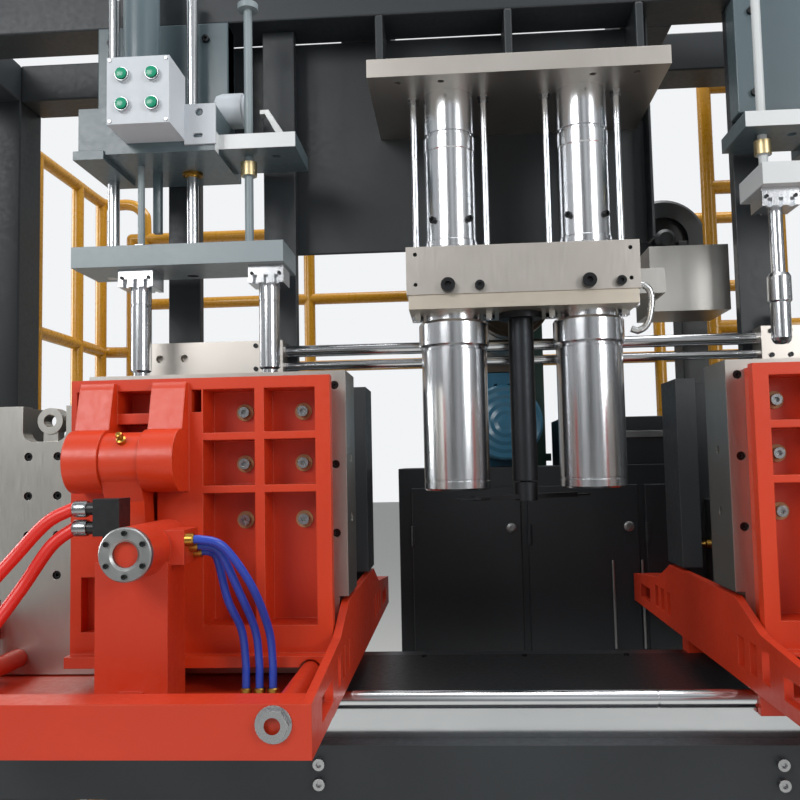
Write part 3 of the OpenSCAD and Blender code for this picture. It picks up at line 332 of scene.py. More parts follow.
def shaped(name, solids, finish, body, rounding=0.0008, holes=()):
    work = bmesh.new()
    for outline, push in solids:
        low = [work.verts.new(point) for point in outline]
        high = [work.verts.new(Vector(point) + Vector(push)) for point in outline]
        work.faces.new(low)
        work.faces.new(high)
        for k in range(len(low)):
            m = (k + 1) % len(low)
            work.faces.new([low[k], low[m], high[m], high[k]])
    bmesh.ops.recalc_face_normals(work, faces=work.faces)
    mesh = bpy.data.meshes.new(name)
    work.to_mesh(mesh)
    work.free()
    holder = bpy.data.objects.new(name + "_blank", mesh)
    scene.collection.objects.link(holder)
    drills = []
    for place, axis, radius, depth in holes:
        drill = bpy.data.meshes.new("drill")
        work = bmesh.new()
        middle = Matrix.Translation(Vector(place) + Vector(axis) * depth / 2)
        turn = Vector(axis).to_track_quat("Z", "Y").to_matrix().to_4x4()
        bmesh.ops.create_cone(work, cap_ends=True, segments=24, radius1=radius, radius2=radius, depth=depth,
                              matrix=middle @ turn)
        work.to_mesh(drill)
        work.free()
        cutter = bpy.data.objects.new("drill", drill)
        scene.collection.objects.link(cutter)
        drills.append(cutter)
        cut = holder.modifiers.new("hole", "BOOLEAN")
        cut.operation = "DIFFERENCE"
        cut.solver = "EXACT"
        cut.object = cutter
    edges = holder.modifiers.new("edges", "BEVEL")
    edges.width = rounding
    edges.segments = 2
    edges.limit_method = "ANGLE"
    edges.angle_limit = math.radians(40)
    result = bpy.data.meshes.new_from_object(holder.evaluated_get(bpy.context.evaluated_depsgraph_get()))
    for used in [holder] + drills:
        bpy.data.objects.remove(used)
    return settle(name, result, finish, body)


# Portal: columns and gantry beams of square tube on foot bars with gussets. A panel
# and three cheeks hold the heads, and a carrier holds each blow station. The
# gantry is 225 mm above the solid's, as the photograph has it.
BASE_TOP, TUBE, GANTRY_LOW, GANTRY_TOP = 0.18, 0.13, 2.50, 2.61
ROWS, ENDS = (-0.195, 0.195), (-1.55, 1.42)
portal_solids = [slab((x, y, BASE_TOP), (x + TUBE, y + TUBE, GANTRY_TOP)) for x in ENDS for y in ROWS]
portal_solids += [slab((-1.42, y, GANTRY_LOW), (1.42, y + TUBE, GANTRY_TOP)) for y in ROWS]
portal_solids += [slab((x, -0.065, GANTRY_LOW), (x + TUBE, 0.195, GANTRY_TOP))
                  for x in (-1.55, -0.425, 0.295, 1.42)]
for x in ENDS:
    portal_solids += [slab((x, y0, BASE_TOP), (x + TUBE, y1, 0.24))
                      for y0, y1 in ((-0.55, -0.195), (-0.065, 0.195))]
    portal_solids.append(([(x + 0.059, -0.195, 0.24), (x + 0.059, -0.195, 0.42), (x + 0.059, -0.33, 0.24)],
                          (0.012, 0, 0)))
portal_solids += [slab((-0.56, -0.065, 1.94), (0.35, -0.057, 2.501)),
                  slab((-0.74, -0.065, 2.213), (-0.559, -0.057, 2.501)),
                  slab((0.342, -0.120, 1.94), (0.35, -0.065, 2.501))]
portal_solids += [slab((x, -0.195, 2.275), (x + 0.02, -0.065, 2.501)) for x in (-0.325, -0.01, 0.305)]
portal_solids += [slab((x, -0.195, 2.275), (x + 0.272, -0.135, 2.501)) for x in (-0.962, 0.690)]
portal = shaped("portal", portal_solids, frame_paint, "machine_frame", 0.004)
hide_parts("portal_frame")
panel_bolts = [((x, -0.057, z), REAR) for x in (-0.52, -0.31, -0.10, 0.11, 0.32) for z in (1.97, 2.47)]
joint_bolts = [((s * x, -0.195, z), FRONT) for s in (-1, 1) for x in (1.455, 1.515) for z in (2.535, 2.575)]
screws("portal_bolts", panel_bolts + joint_bolts, 0.009, 0.009, bright_bolt, "machine_frame")


def turned(name, profiles, finish, body, steps=32, sharp=35):
    work = bmesh.new()
    angles = [2 * math.pi * k / steps for k in range(steps)]
    for profile, base, axis in profiles:
        frame_turn = Vector(axis).to_track_quat("Z", "Y").to_matrix()
        rings = []
        for radius, height in profile:
            if radius == 0:
                rings.append([work.verts.new(Vector(base) + frame_turn @ Vector((0, 0, height)))])
                continue
            ring = [(radius * math.cos(a), radius * math.sin(a), height) for a in angles]
            rings.append([work.verts.new(Vector(base) + frame_turn @ Vector(point)) for point in ring])
        closed = profile[0][0] != 0
        pairs = list(zip(rings, rings[1:])) + ([(rings[-1], rings[0])] if closed else [])
        for low, high in pairs:
            for k in range(steps):
                m = (k + 1) % steps
                loop = [low[k % len(low)], low[m % len(low)], high[m % len(high)], high[k % len(high)]]
                loop = [v for i, v in enumerate(loop) if v not in loop[:i]]
                if len(loop) > 2:
                    work.faces.new(loop)
    bmesh.ops.recalc_face_normals(work, faces=work.faces)
    mesh = bpy.data.meshes.new(name)
    work.to_mesh(mesh)
    work.free()
    mesh.shade_smooth()
    mesh.set_sharp_from_angle(angle=math.radians(sharp))
    return settle(name, mesh, finish, body)


# Oil tank and pump housing on the base behind the bed, in folded and welded plate.
# It has three doors with latches and hinges, level pipes, a filler and louvres.
TANK_TOP, DOOR_FACE, DOORS = 1.385, 0.417, (-0.29, 0.06, 0.41)
tank_solids = [slab((-0.33, 0.425, 0.179), (1.08, 0.76, TANK_TOP)),
               slab((0.17, 0.435, 1.384), (0.56, 0.70, 1.53))]
tank_solids += [slab((x, DOOR_FACE, 0.30), (x + 0.33, 0.426, 1.325)) for x in DOORS]
shaped("oil_tank", tank_solids, frame_paint, "machine_frame", 0.003)
shaped("housing_trim", [slab((0.165, 0.429, 1.466), (0.565, 0.436, 1.486))], zinc, "machine_frame")
latch = [(0.0, 0.0), (0.015, 0.0), (0.015, 0.004), (0.012, 0.006), (0.005, 0.006), (0.005, 0.0035),
         (0.0, 0.0035)]
turned("tank_latches", [(latch, (x + 0.30, DOOR_FACE, z), FRONT) for x in DOORS for z in (0.55, 1.20)], zinc,
       "machine_frame", 24)
hinge = [(0.0, 0.0), (0.007, 0.0), (0.007, 0.0195), (0.006, 0.020), (0.007, 0.0205), (0.007, 0.060),
         (0.0, 0.060)]
turned("tank_hinges", [(hinge, (x + 0.004, 0.415, z), UP) for x in DOORS for z in (0.45, 1.15)], frame_paint,
       "machine_frame", 20)
filler = [(0.0, 0.0), (0.040, 0.0), (0.040, 0.010), (0.028, 0.012), (0.028, 0.045), (0.034, 0.048),
          (0.034, 0.072), (0.030, 0.076), (0.0, 0.076)]
turned("tank_filler", [(filler, (0.86, 0.60, TANK_TOP), UP)], zinc, "machine_frame", 40)
louvres, given = new_tree("louvres", ["Slat Length", "Slat Width"])
slat_size = add(louvres, "ShaderNodeCombineXYZ", {"X": given.outputs["Slat Length"],
                                                  "Y": given.outputs["Slat Width"], "Z": 0.0015})
slat = add(louvres, "GeometryNodeMeshCube", {"Size": slat_size.outputs[0]})
leaned = add(louvres, "GeometryNodeTransform", {"Geometry": slat.outputs[0],
                                                "Rotation": (math.radians(35), 0, 0)})
on_places(louvres, given, leaned.outputs[0])
tank_slats = [((x, 0.764, 0.55 + 0.04 * k), REAR) for x in (0.42, 0.86) for k in range(12)]
repeat("tank_louvres", louvres, tank_slats, {"Slat Length": 0.30, "Slat Width": 0.026}, frame_paint,
       "machine_frame")
level_pipe = [(0.0, 0.0), (0.004, 0.0), (0.004, 0.260), (0.0, 0.260)]
turned("level_pipes", [(level_pipe, (x, 0.4145, 0.84), UP) for x in (0.309, 0.395)], zinc, "machine_frame", 20)

# Guide bar and rail: the round bar is hardened, ground and polished, and the rear
# rail is a ground profile. Both carry the carriages. The transfer bars match the bar.
ground_bar = metal("hard_ground_bar", "#D6D8DA", "#C2C5C9", 0.12, 0.20, (0.04, 1, 1), 0.003)
rail_steel = metal("ground_rail", "#7C8084", "#6A6E72", 0.28, 0.38, (0.05, 1, 1), 0.003)
dress(ground_bar, "front_guide_bar", "transfer_bars")
dress(rail_steel, "rear_rail")

# Guard rails: welded round tube in gloss safety yellow, at the rear, round the left
# rear corner and on the oil tank, on screwed foot discs.
RAIL_RADIUS = 0.021
rail_yellow = painted("gloss_yellow_paint", "#CD9320", "#B87F18", "#DDB050", 0.28, 0.006, 0.3)
dress(rail_yellow, "guard_rail")


def straight(a, b):
    reach = Vector(b) - Vector(a)
    return [(0.0, 0.0), (RAIL_RADIUS, 0.0), (RAIL_RADIUS, reach.length), (0.0, reach.length)], a, reach


def tube(name, routes, radius, finish, body):
    data = bpy.data.curves.new(name, "CURVE")
    data.dimensions = "3D"
    data.bevel_depth = radius
    data.bevel_resolution = 5
    data.use_fill_caps = True
    for route in routes:
        points = [Vector(p) for p in route]
        inner = points[1:-1]
        fine = [points[0]]
        for i in range(len(inner) - 1):
            a, b, c, d = inner[max(i - 1, 0)], inner[i], inner[i + 1], inner[min(i + 2, len(inner) - 1)]
            for k in range(8):
                t = k / 8
                square, cube = 2 * a - 5 * b + 4 * c - d, 3 * b - a - 3 * c + d
                fine.append(0.5 * (2 * b + (c - a) * t + square * t * t + cube * t ** 3))
        fine += [inner[-1], points[-1]]
        line = data.splines.new("POLY")
        line.points.add(len(fine) - 1)
        for slot, p in zip(line.points, fine):
            slot.co = (*p, 1.0)
    holder = bpy.data.objects.new(name + "_route", data)
    scene.collection.objects.link(holder)
    mesh = bpy.data.meshes.new_from_object(holder.evaluated_get(bpy.context.evaluated_depsgraph_get()))
    bpy.data.objects.remove(holder)
    mesh.shade_smooth()
    return settle(name, mesh, finish, body)


side_posts = [(-1.51, y, BASE_TOP) for y in (0.479, 0.793, 1.005)]
top_posts = [(x, 0.46, TANK_TOP) for x in (0.651, 1.050)]
rear_posts = [(x, 1.04, BASE_TOP) for x in (-1.4, -0.7, 0.62, 1.08)]
LOOP_TOP, LOOP_LOW, TANK_RAIL = 2.44, 1.855, 2.56
side_loop = [(-1.51, y, LOOP_TOP) for y in (0.459, 0.52, 0.75, 0.98)]
side_loop += [(-1.498, 1.028, LOOP_TOP), (-1.46, 1.04, LOOP_TOP), (-1.42, 1.04, LOOP_TOP), (-1.385, 1.04, 2.43)]
side_loop += [(-1.355, 1.04, 2.40), (-1.345, 1.04, 2.36), (-1.345, 1.04, 2.15), (-1.345, 1.04, 1.935)]
side_loop += [(-1.355, 1.04, 1.895), (-1.385, 1.04, 1.865), (-1.42, 1.04, LOOP_LOW), (-1.46, 1.04, LOOP_LOW)]
side_loop += [(-1.498, 1.028, LOOP_LOW)] + [(-1.51, y, LOOP_LOW) for y in (0.98, 0.75, 0.52, 0.459)]
tube("side_rail_loop", [side_loop], RAIL_RADIUS, rail_yellow, "machine_frame")
spans = [straight(post, (post[0], post[1], LOOP_TOP)) for post in side_posts]
spans += [straight(post, (post[0], post[1], TANK_RAIL)) for post in top_posts]
spans += [straight((0.651, 0.46, z), (1.050, 0.46, z)) for z in (1.80, 2.238, TANK_RAIL)]
turned("rail_tubes", spans, rail_yellow, "machine_frame", 28)
rail_feet = side_posts + top_posts + rear_posts
foot_disc = [(0.0205, 0.0), (0.038, 0.0), (0.038, 0.007), (0.036, 0.009), (0.025, 0.009), (0.0205, 0.014)]
turned("rail_foot_discs", [(foot_disc, place, UP) for place in rail_feet], rail_yellow, "machine_frame")
foot_screws = [((x + 0.031 * math.cos(a), y + 0.031 * math.sin(a), z + 0.009), UP)
               for x, y, z in rail_feet for a in (0.8, 2.37, 3.94, 5.5)]
screws("rail_foot_screws", foot_screws, 0.0045, 0.0045, black_oxide, "machine_frame")


# Head plates: milled tool steel, with the cutter's fine parallel marks.
# The tie rods, nuts and turned bodies hang from the top plate.
milled = metal("milled_plate", "#CFC9C2", "#BDB7AF", 0.34, 0.42, (1, 1, 0.06), 0.0022)
clamp_ground = metal("ground_clamp_plate", "#D8CFC0", "#C4BAAA", 0.36, 0.46, (0.06, 1, 1), 0.0022)
polished = metal("ground_chrome", "#D9DBDE", "#C8CBCF", 0.17, 0.25, (1, 1, 0.04), 0.002, 0.00002, 0.08)
dress(milled, "head_top_plate", "die_plate")
dress(clamp_ground, "head_clamp_plate")
dress(polished, "head_tie_rods")
for side in ("left", "right"):
    dress(polished, "parison_cylinder_" + side, "die_head_" + side, "mandrel_" + side,
          "guide_columns_" + side, "blow_pins_" + side)
rod_nuts = [((s * HEAD_X + e * 0.08, HEAD_Y, z), facing) for s in (-1, 1) for e in (-1, 1)
            for z, facing in ((1.868, UP), (2.235, DOWN))]
nuts("tie_rod_nuts", rod_nuts, 0.0118, 0.012, 0.0083, bright_bolt, "machine_frame")
plate_screws = [((s * 0.23, -0.381, z), FRONT) for s in (-1, 1) for z in (1.851, 1.785)]
screws("die_plate_small_screws", plate_screws, 0.0041, 0.009, black_oxide, "machine_frame")
centre_screws = [((s * HEAD_X - 0.010, -0.395, 1.781), FRONT) for s in (-1, 1)]
screws("die_plate_centre_screws", centre_screws, 0.0155, 0.016, black_oxide, "machine_frame")
side_screws = [((s * HEAD_X + 0.058, -0.395, 1.779), FRONT) for s in (-1, 1)]
screws("die_plate_side_screws", side_screws, 0.0105, 0.011, black_oxide, "machine_frame")
clamp_screws = [((s * HEAD_X + 0.058 * math.sin(a), HEAD_Y - 0.058 * math.cos(a), 1.940),
                 (math.sin(a), -math.cos(a), 0))
                for s in (-1, 1) for a in (-0.72, 0.72, 2.42, 3.86)]
screws("cylinder_clamp_screws", clamp_screws, 0.0075, 0.008, black_oxide, "machine_frame")
top_screws = [((s * x, -0.395, 2.249), DOWN) for s in (-1, 1) for x in (0.165, 0.26)]
screws("top_plate_screws", top_screws, 0.0064, 0.009, black_oxide, "machine_frame")

# Release hook: a bent bright bar on a lug, at the die plate's right side.
# Only its outline shows in the photograph.
bright_fitting = metal("bright_fitting", "#DCDDDD", "#C9CBCC", 0.24, 0.34, (1, 1, 1), 0.006)
hook = [(0.258, -0.310, 1.786), (0.272, -0.310, 1.786), (0.284, -0.310, 1.776), (0.289, -0.310, 1.758),
        (0.287, -0.310, 1.730), (0.281, -0.310, 1.705), (0.271, -0.310, 1.690), (0.256, -0.310, 1.683),
        (0.243, -0.310, 1.688)]
tube("release_hook", [hook], 0.0075, bright_fitting, "machine_frame")
shaped("release_hook_lug", [slab((0.2455, -0.322, 1.736), (0.262, -0.298, 1.794))], bright_fitting,
       "machine_frame", 0.003)


# Transfer blocks: milled steel blocks with ears that hold the twin bars, screwed to
# painted posts that hang from the portal.
block_solids, block_holes, post_solids = [], [], []
for s in (-1, 1):
    ends = sorted((s * 0.560, s * 0.900))
    block_solids.append(slab((ends[0], -0.202, 1.622), (ends[1], -0.140, 1.702)))
    for x in (0.600, 0.690):
        ear = sorted((s * x, s * (x + 0.02)))
        block_solids.append(slab((ear[0], -0.202, 1.701), (ear[1], -0.160, 1.740)))
    block_holes += [((s * x, -0.203, z), REAR, 0.009, 0.018) for x, z in ((0.86, 1.664), (0.80, 1.664))]
    for x in (0.536, 0.779):
        post = sorted((s * x, s * (x + 0.08)))
        post_solids.append(slab((post[0], -0.1395, 1.624), (post[1], -0.108, 2.50)))
shaped("transfer_posts", post_solids, frame_paint, "machine_frame", 0.002)
transfer_block = shaped("transfer_block", block_solids, milled, "machine_frame", 0.001, block_holes)
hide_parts("transfer_blocks")
block_screws = [((s * x, -0.202, z), FRONT) for s in (-1, 1) for x in (0.582, 0.625) for z in (1.690, 1.634)]
screws("transfer_block_screws", block_screws, 0.0055, 0.0035, black_oxide, "machine_frame")

# Extruder behind the heads: manifold and barrel in heat-tinted steel, mica
# bands in bright sheet, a dark green gear case and a blue motor.
tinted = metal("heat_tinted_steel", "#7D7266", "#5E5850", 0.36, 0.48, (1, 1, 1), 0.02)
sheet = metal("rolled_stainless_sheet", "#C2C0BB", "#ADABA6", 0.28, 0.40, (1, 1, 0.05), 0.003)
gear_green = painted("gear_case_enamel", "#2B4A42", "#213832", "#61776F", 0.34, 0.005, 0.3)
motor_blue = painted("motor_enamel", "#2F6F8C", "#265B74", "#6D9AAE", 0.34, 0.005, 0.3)
dress(tinted, "melt_manifold", "extruder_barrel")
dress(sheet, "heater_bands", "heat_shield", "feed_hopper")
dress(gear_green, "gearbox")
dress(motor_blue, "drive_motor")

# Blower, its duct and the valve bank: they stand on the oil tank, and the blower's
# motor is behind its scroll.
scroll = [(0.0, 0.02), (0.078, 0.02), (0.078, 0.0), (0.128, 0.0), (0.138, 0.010), (0.138, 0.110),
          (0.128, 0.120), (0.0, 0.120)]
hub = [(0.0, -0.030), (0.022, -0.030), (0.034, -0.018), (0.034, 0.030), (0.0, 0.030)]
fin = ((0.0, 0.064), (0.002, 0.072), (0.005, 0.072), (0.007, 0.064))
fan_motor = [(0.0, 0.0)] + [(r, 0.008 * k + d) for k in range(12) for d, r in fin]
fan_motor += [(0.060, 0.105), (0.0, 0.105)]
BLOWER = (0.545, 0.60, 2.11)
turned("blower", [(scroll, BLOWER, REAR), (hub, BLOWER, REAR), (fan_motor, (0.545, 0.72, 2.11), REAR)],
       frame_paint, "machine_frame", 48)
shaped("blower_duct", [slab((0.590, 0.605, 1.384), (0.683, 0.715, 2.11)),
                       slab((0.568, 0.585, 1.384), (0.705, 0.735, 1.397))], frame_paint, "machine_frame", 0.003)
duct_bolts = [((x, y, 1.397), UP) for x in (0.578, 0.695) for y in (0.595, 0.725)]
screws("duct_bolts", duct_bolts, 0.006, 0.006, bright_bolt, "machine_frame")
VALVE_PITCH = 0.072
shaped("valve_bank", [slab((0.72, 0.495, 1.384), (1.02, 0.555, 1.425))], sheet, "machine_frame", 0.002)
valve_bodies = [slab((0.733 + VALVE_PITCH * k, 0.500, 1.4245), (0.783 + VALVE_PITCH * k, 0.550, 1.470))
                for k in range(4)]
shaped("valve_bodies", valve_bodies, deck_paint, "machine_frame", 0.002)
coil = [(0.0, 0.0), (0.019, 0.0), (0.019, 0.040), (0.016, 0.043), (0.006, 0.043), (0.006, 0.050), (0.0, 0.050)]
turned("valve_coils", [(coil, (0.758 + VALVE_PITCH * k, 0.525, 1.470), UP) for k in range(4)], deck_paint,
       "machine_frame", 32)

# Covers, bolts and band clamps: turned covers on the gear case, the motor's cowl, and
# a clamp with two screws on each heater band.
BAND_PITCH, MOTOR_AXIS, BARREL_AXIS = 0.118, 1.52, 1.815
case_cover = [(0.0, 0.0), (0.085, 0.0), (0.085, 0.012), (0.080, 0.014), (0.040, 0.014), (0.036, 0.022),
              (0.0, 0.022)]
cowl_rings = [(0.107 - 0.012 * k, 0.028 - 0.004 * (k % 2)) for k in range(1, 8)]
cowl = [(0.0, 0.0), (0.113, 0.0), (0.113, 0.022), (0.107, 0.028)] + cowl_rings + [(0.0, 0.028)]
turned("gear_case_covers", [(case_cover, (0, 1.00, z), REAR) for z in (MOTOR_AXIS, BARREL_AXIS)], gear_green,
       "machine_frame", 48)
turned("motor_cowl", [(cowl, (0, 0.42, MOTOR_AXIS), FRONT)], motor_blue, "machine_frame", 48, 20)
case_bolts = [((x, 1.00, z), REAR) for x in (-0.14, 0.14) for z in (1.46, 1.60, 1.74, 1.88)]
case_bolts += [((0.072 * math.sin(a), 1.0135, z + 0.072 * math.cos(a)), REAR) for z in (MOTOR_AXIS, BARREL_AXIS)
               for a in (math.pi * k / 3 for k in range(6))]
case_bolts += [((0.083 * math.sin(a), -0.015, BARREL_AXIS + 0.083 * math.cos(a)), REAR)
               for a in (math.pi * (k + 0.5) / 4 for k in range(8))]
screws("case_bolts", case_bolts, 0.0065, 0.0065, bright_bolt, "machine_frame")
shaped("band_clamps", [slab((-0.010, 0.028 + BAND_PITCH * k, 1.896), (0.010, 0.082 + BAND_PITCH * k, 1.910))
                       for k in range(5)], zinc, "machine_frame")
screws("band_screws", [((0, 0.042 + BAND_PITCH * k + d, 1.910), UP) for k in range(5) for d in (0, 0.026)],
       0.005, 0.005, bright_bolt, "machine_frame")

# Rotary knife: the arm with its blades, and the bearing tube that it turns on
# between the heads, both in blackened steel.
blackened = metal("blackened_steel", "#3A3C3F", "#222426", 0.36, 0.52, (1, 1, 1), 0.01)
dress(blackened, "cutter_bearing", "cutter_arm")

# Control cabinet: light grey powder coat on steel sheet, with louvres, a handle,
# modules on a mounting plate, and the cable duct that comes down from the gantry.
grey_coat = painted("light_grey_powder_coat", "#C8CED4", "#BCC3C9", "#DCE0E3", 0.45, 0.0025)
dress(grey_coat, "button_box", "control_cabinet", "cabinet_door")
cabinet_slats = [((1.33, 1.1015, z + 0.035 * k), REAR) for z in (0.32, 1.30) for k in range(7)]
repeat("cabinet_louvres", louvres, cabinet_slats, {"Slat Length": 0.24, "Slat Width": 0.02}, grey_coat,
       "machine_frame")
shaped("cabinet_handle", [slab((1.548, 0.622, z), (1.572, 0.636, z + 0.014)) for z in (0.90, 1.006)]
       + [slab((1.568, 0.620, 0.90), (1.578, 0.638, 1.02))], deck_paint, "cabinet_door", 0.002)
turned("cabinet_locks", [(latch, (1.548, 0.629, z), RIGHT) for z in (0.40, 1.46)], zinc, "cabinet_door", 24)
PLATE_FACE = 1.163
modules = [slab((PLATE_FACE, 0.625 + 0.09 * k, z),
                (PLATE_FACE + (0.09, 0.06)[(k + row) % 2], 0.700 + 0.09 * k, z + 0.12))
           for row, z in enumerate((0.42, 0.76, 1.10, 1.44)) for k in range(5)]
trunking = [slab((PLATE_FACE, 0.612, z), (1.205, 1.075, z + 0.045)) for z in (0.32, 0.60, 0.94, 1.28)]
shaped("cabinet_plate", [slab((1.1545, 0.615, 0.26), (1.1632, 1.065, 1.62))], zinc, "machine_frame")
shaped("cabinet_modules", modules, deck_paint, "machine_frame", 0.002)
shaped("cabinet_trunking", trunking, grey_coat, "machine_frame", 0.002)
shaped("cable_duct", [slab((-1.30, 0.3245, 2.525), (1.53, 0.365, 2.585)),
                      slab((1.44, 0.3245, 1.76), (1.53, 0.365, 2.526)),
                      slab((1.44, 0.3245, 1.72), (1.53, 0.78, 1.761)),
                      slab((1.44, 0.69, 1.679), (1.53, 0.78, 1.721))], grey_coat, "machine_frame", 0.002)
lug_eye = [(0.012, 0.0), (0.020, 0.0), (0.020, 0.010), (0.012, 0.010), (0.012, 0.0)]
turned("cabinet_lifting_eyes", [(lug_eye, (x - 0.005, y, 1.698), RIGHT) for x in (1.18, 1.48)
                                for y in (0.63, 1.05)], zinc, "machine_frame", 32)


# Button box: moulded green push caps in plated bezels, on the same powder coat,
# with four small screws in the lid.
def mottled(name, first, second, metres, detail, roughness, metallic=0.0):
    made, tree = new_material(name)
    tone = mixed(tree, coarse(tree, metres, detail), linear(first), linear(second))
    return finished(made, tree, {"Base Color": tone, "Roughness": roughness, "Metallic": metallic})


green_cap = mottled("moulded_green_cap", "#118A66", "#1E9C78", 0.006, 2.0, 0.22)
dress(green_cap, "button_1", "button_2", "button_3", "button_4")
bezel_ring = [(0.0126, 0.0), (0.0156, 0.0), (0.0156, 0.0022), (0.0146, 0.0040), (0.0131, 0.0040),
              (0.0126, 0.0034)]
push_face = [(0.0, 0.0), (0.0096, 0.0), (0.0096, 0.0016), (0.0118, 0.0016), (0.0122, 0.0020), (0.0118, 0.0032),
             (0.0108, 0.0037), (0.0, 0.0039)]
bezel_places = [(x, -0.506, z) for x in (-0.837, -0.772) for z in (2.2335, 2.1685)]
bezel_metal = metal("plated_bezel", "#A9ACAE", "#8B8E91", 0.20, 0.30, (1, 1, 1), 0.006)
turned("button_bezels", [(bezel_ring, place, FRONT) for place in bezel_places], bezel_metal, "machine_frame",
       40)
for number, (x, y, z) in zip((1, 3, 2, 4), bezel_places):
    turned("push_face_%d" % number, [(push_face, (x, -0.511, z), FRONT)], green_cap, "button_%d" % number, 40)
lid_screws = [((x, -0.5, z), FRONT) for x in (-0.8655, -0.7435) for z in (2.1345, 2.2675)]
screws("box_lid_screws", lid_screws, 0.0036, 0.0024, bright_bolt, "machine_frame")

# Blow units: cast brackets in teal-grey enamel on back plates, and pale painted plates
# that slide on ground columns in bushes. Stop screws in cups limit the stroke, and
# the left unit has an air silencer.
teal_enamel = painted("teal_grey_enamel", "#58686E", "#46555B", "#8A979B", 0.36, 0.006, 0.2)
plate_paint = painted("teal_plate_paint", "#8E9A9E", "#7D898E", "#B3BCBF", 0.36, 0.004)
plate_bolts = [((x, -0.196, z), FRONT) for x in (-0.985, -0.745, 0.575, 0.985) for z in (2.26, 2.46)]
screws("back_plate_bolts", plate_bolts, 0.009, 0.009, black_oxide, "machine_frame")

# The castings share one enamel, and their shelves have a light cover plate on the
# front face, which ends where the casting starts.
SHELF_END = 0.6702
tree = teal_enamel.node_tree
shader = next(node for node in tree.nodes if node.type == "BSDF_PRINCIPLED")
spot = add(tree, "ShaderNodeSeparateXYZ", {"Vector": add(tree, "ShaderNodeTexCoord").outputs["Object"]}).outputs
inward = calc(tree, "LESS_THAN", calc(tree, "ABSOLUTE", spot["X"]), SHELF_END)
front_face = calc(tree, "MULTIPLY", calc(tree, "LESS_THAN", spot["Y"], -0.3596),
                  calc(tree, "LESS_THAN", spot["Z"], 2.1518))
enamel = shader.inputs["Base Color"].links[0].from_socket
tree.links.new(mixed(tree, calc(tree, "MULTIPLY", inward, front_face), enamel, linear("#D6DADB")),
               shader.inputs["Base Color"])
dress(teal_enamel, "blow_casting_left", "blow_casting_right")
worn_bronze = metal("worn_bronze", "#DDCBA0", "#BFA777", 0.36, 0.48, (1, 1, 1), 0.008)
cup = [(0.0247, 0.0), (0.036, 0.0), (0.036, 0.009), (0.035, 0.010), (0.0247, 0.010), (0.0247, 0.0)]
sleeve = [(0.0152, 0.0), (0.0185, 0.0), (0.0185, 0.032), (0.0152, 0.032), (0.0152, 0.0)]
STOP_X = {"left": -0.615, "right": 0.550}
turned("stop_cups", [(cup, (x, HEAD_Y, 2.151), UP) for x in STOP_X.values()], worn_bronze, "machine_frame", 40)
for side, x in STOP_X.items():
    turned("stop_sleeve_" + side, [(sleeve, (x, HEAD_Y, 2.072), UP)], worn_bronze, "blow_unit_" + side, 32)
stay = [(-0.586, -0.312, 2.225), (-0.566, -0.312, 2.225), (-0.528, -0.312, 2.165), (-0.528, -0.312, 2.1512),
        (-0.545, -0.312, 2.1512), (-0.545, -0.312, 2.161), (-0.574, -0.312, 2.214), (-0.586, -0.312, 2.214)]
shaped("stop_screw_stay", [(stay, (0, 0.024, 0))], zinc, "machine_frame")
silencer = [(0.0, 0.0), (0.026, 0.001), (0.037, 0.008), (0.041, 0.022), (0.041, 0.070), (0.036, 0.072),
            (0.036, 0.078), (0.0, 0.078)]
turned("air_silencer", [(silencer, (-0.711, -0.236, 2.256), RIGHT)], grey_coat, "machine_frame", 48)
for side, start, stop in (("left", -1.020, -0.690), ("right", 0.536, 1.020)):
    shaped("back_plate_" + side, [slab((start, -0.196, 2.213), (stop, -0.134, 2.502))], teal_enamel,
           "machine_frame", 0.003)
white_plate = painted("pale_plate_paint", "#D3D7D8", "#C4C9CB", "#E6E8E8", 0.38, 0.004)
dress(plate_paint, "moving_plate_left")
dress(white_plate, "moving_plate_right")

bronze = mottled("oiled_bronze", "#C79A4B", "#96702F", 0.01, 3.0, 0.3, 1.0)
bush = [(0.0146, 0.0), (0.0245, 0.0), (0.0245, 0.006), (0.0235, 0.007), (0.0175, 0.007), (0.0165, 0.011),
        (0.0146, 0.011)]
bush_places = [((s * (STATION + u), -0.24, z), facing) for s in (-1, 1) for u in (0.046, 0.240)
               for z, facing in ((2.105, DOWN), (2.212, UP))]
bush_places = [b for b in bush_places if not (b[1] == DOWN and abs(b[0][0]) > 0.95)]
turned("column_bushes", [(bush, place, facing) for place, facing in bush_places], bronze, "machine_frame")
for side, s, top in (("left", -1, 1.904), ("right", 1, 2.036)):
    corners = [((s * (STATION + u), y, top - 0.008), UP) for u in (-0.183, 0.278) for y in (-0.350, -0.220)]
    screws("plate_corner_screws_" + side, corners, 0.0055, 0.007, black_oxide, "blow_unit_" + side)
    rod_nut = [((s * (STATION + 0.15), HEAD_Y, top), UP)]
    nuts("cylinder_rod_nut_" + side, rod_nut, 0.019, 0.014, 0.0083, bright_bolt, "blow_unit_" + side)
    pin_bolts = [((s * STATION + k * 0.15 + e * 0.031, -0.338, top - 0.069), FRONT) for k in (-1, 1)
                 for e in (-1, 1)]
    screws("pin_holder_bolts_" + side, pin_bolts, 0.004, 0.004, black_oxide, "blow_unit_" + side)

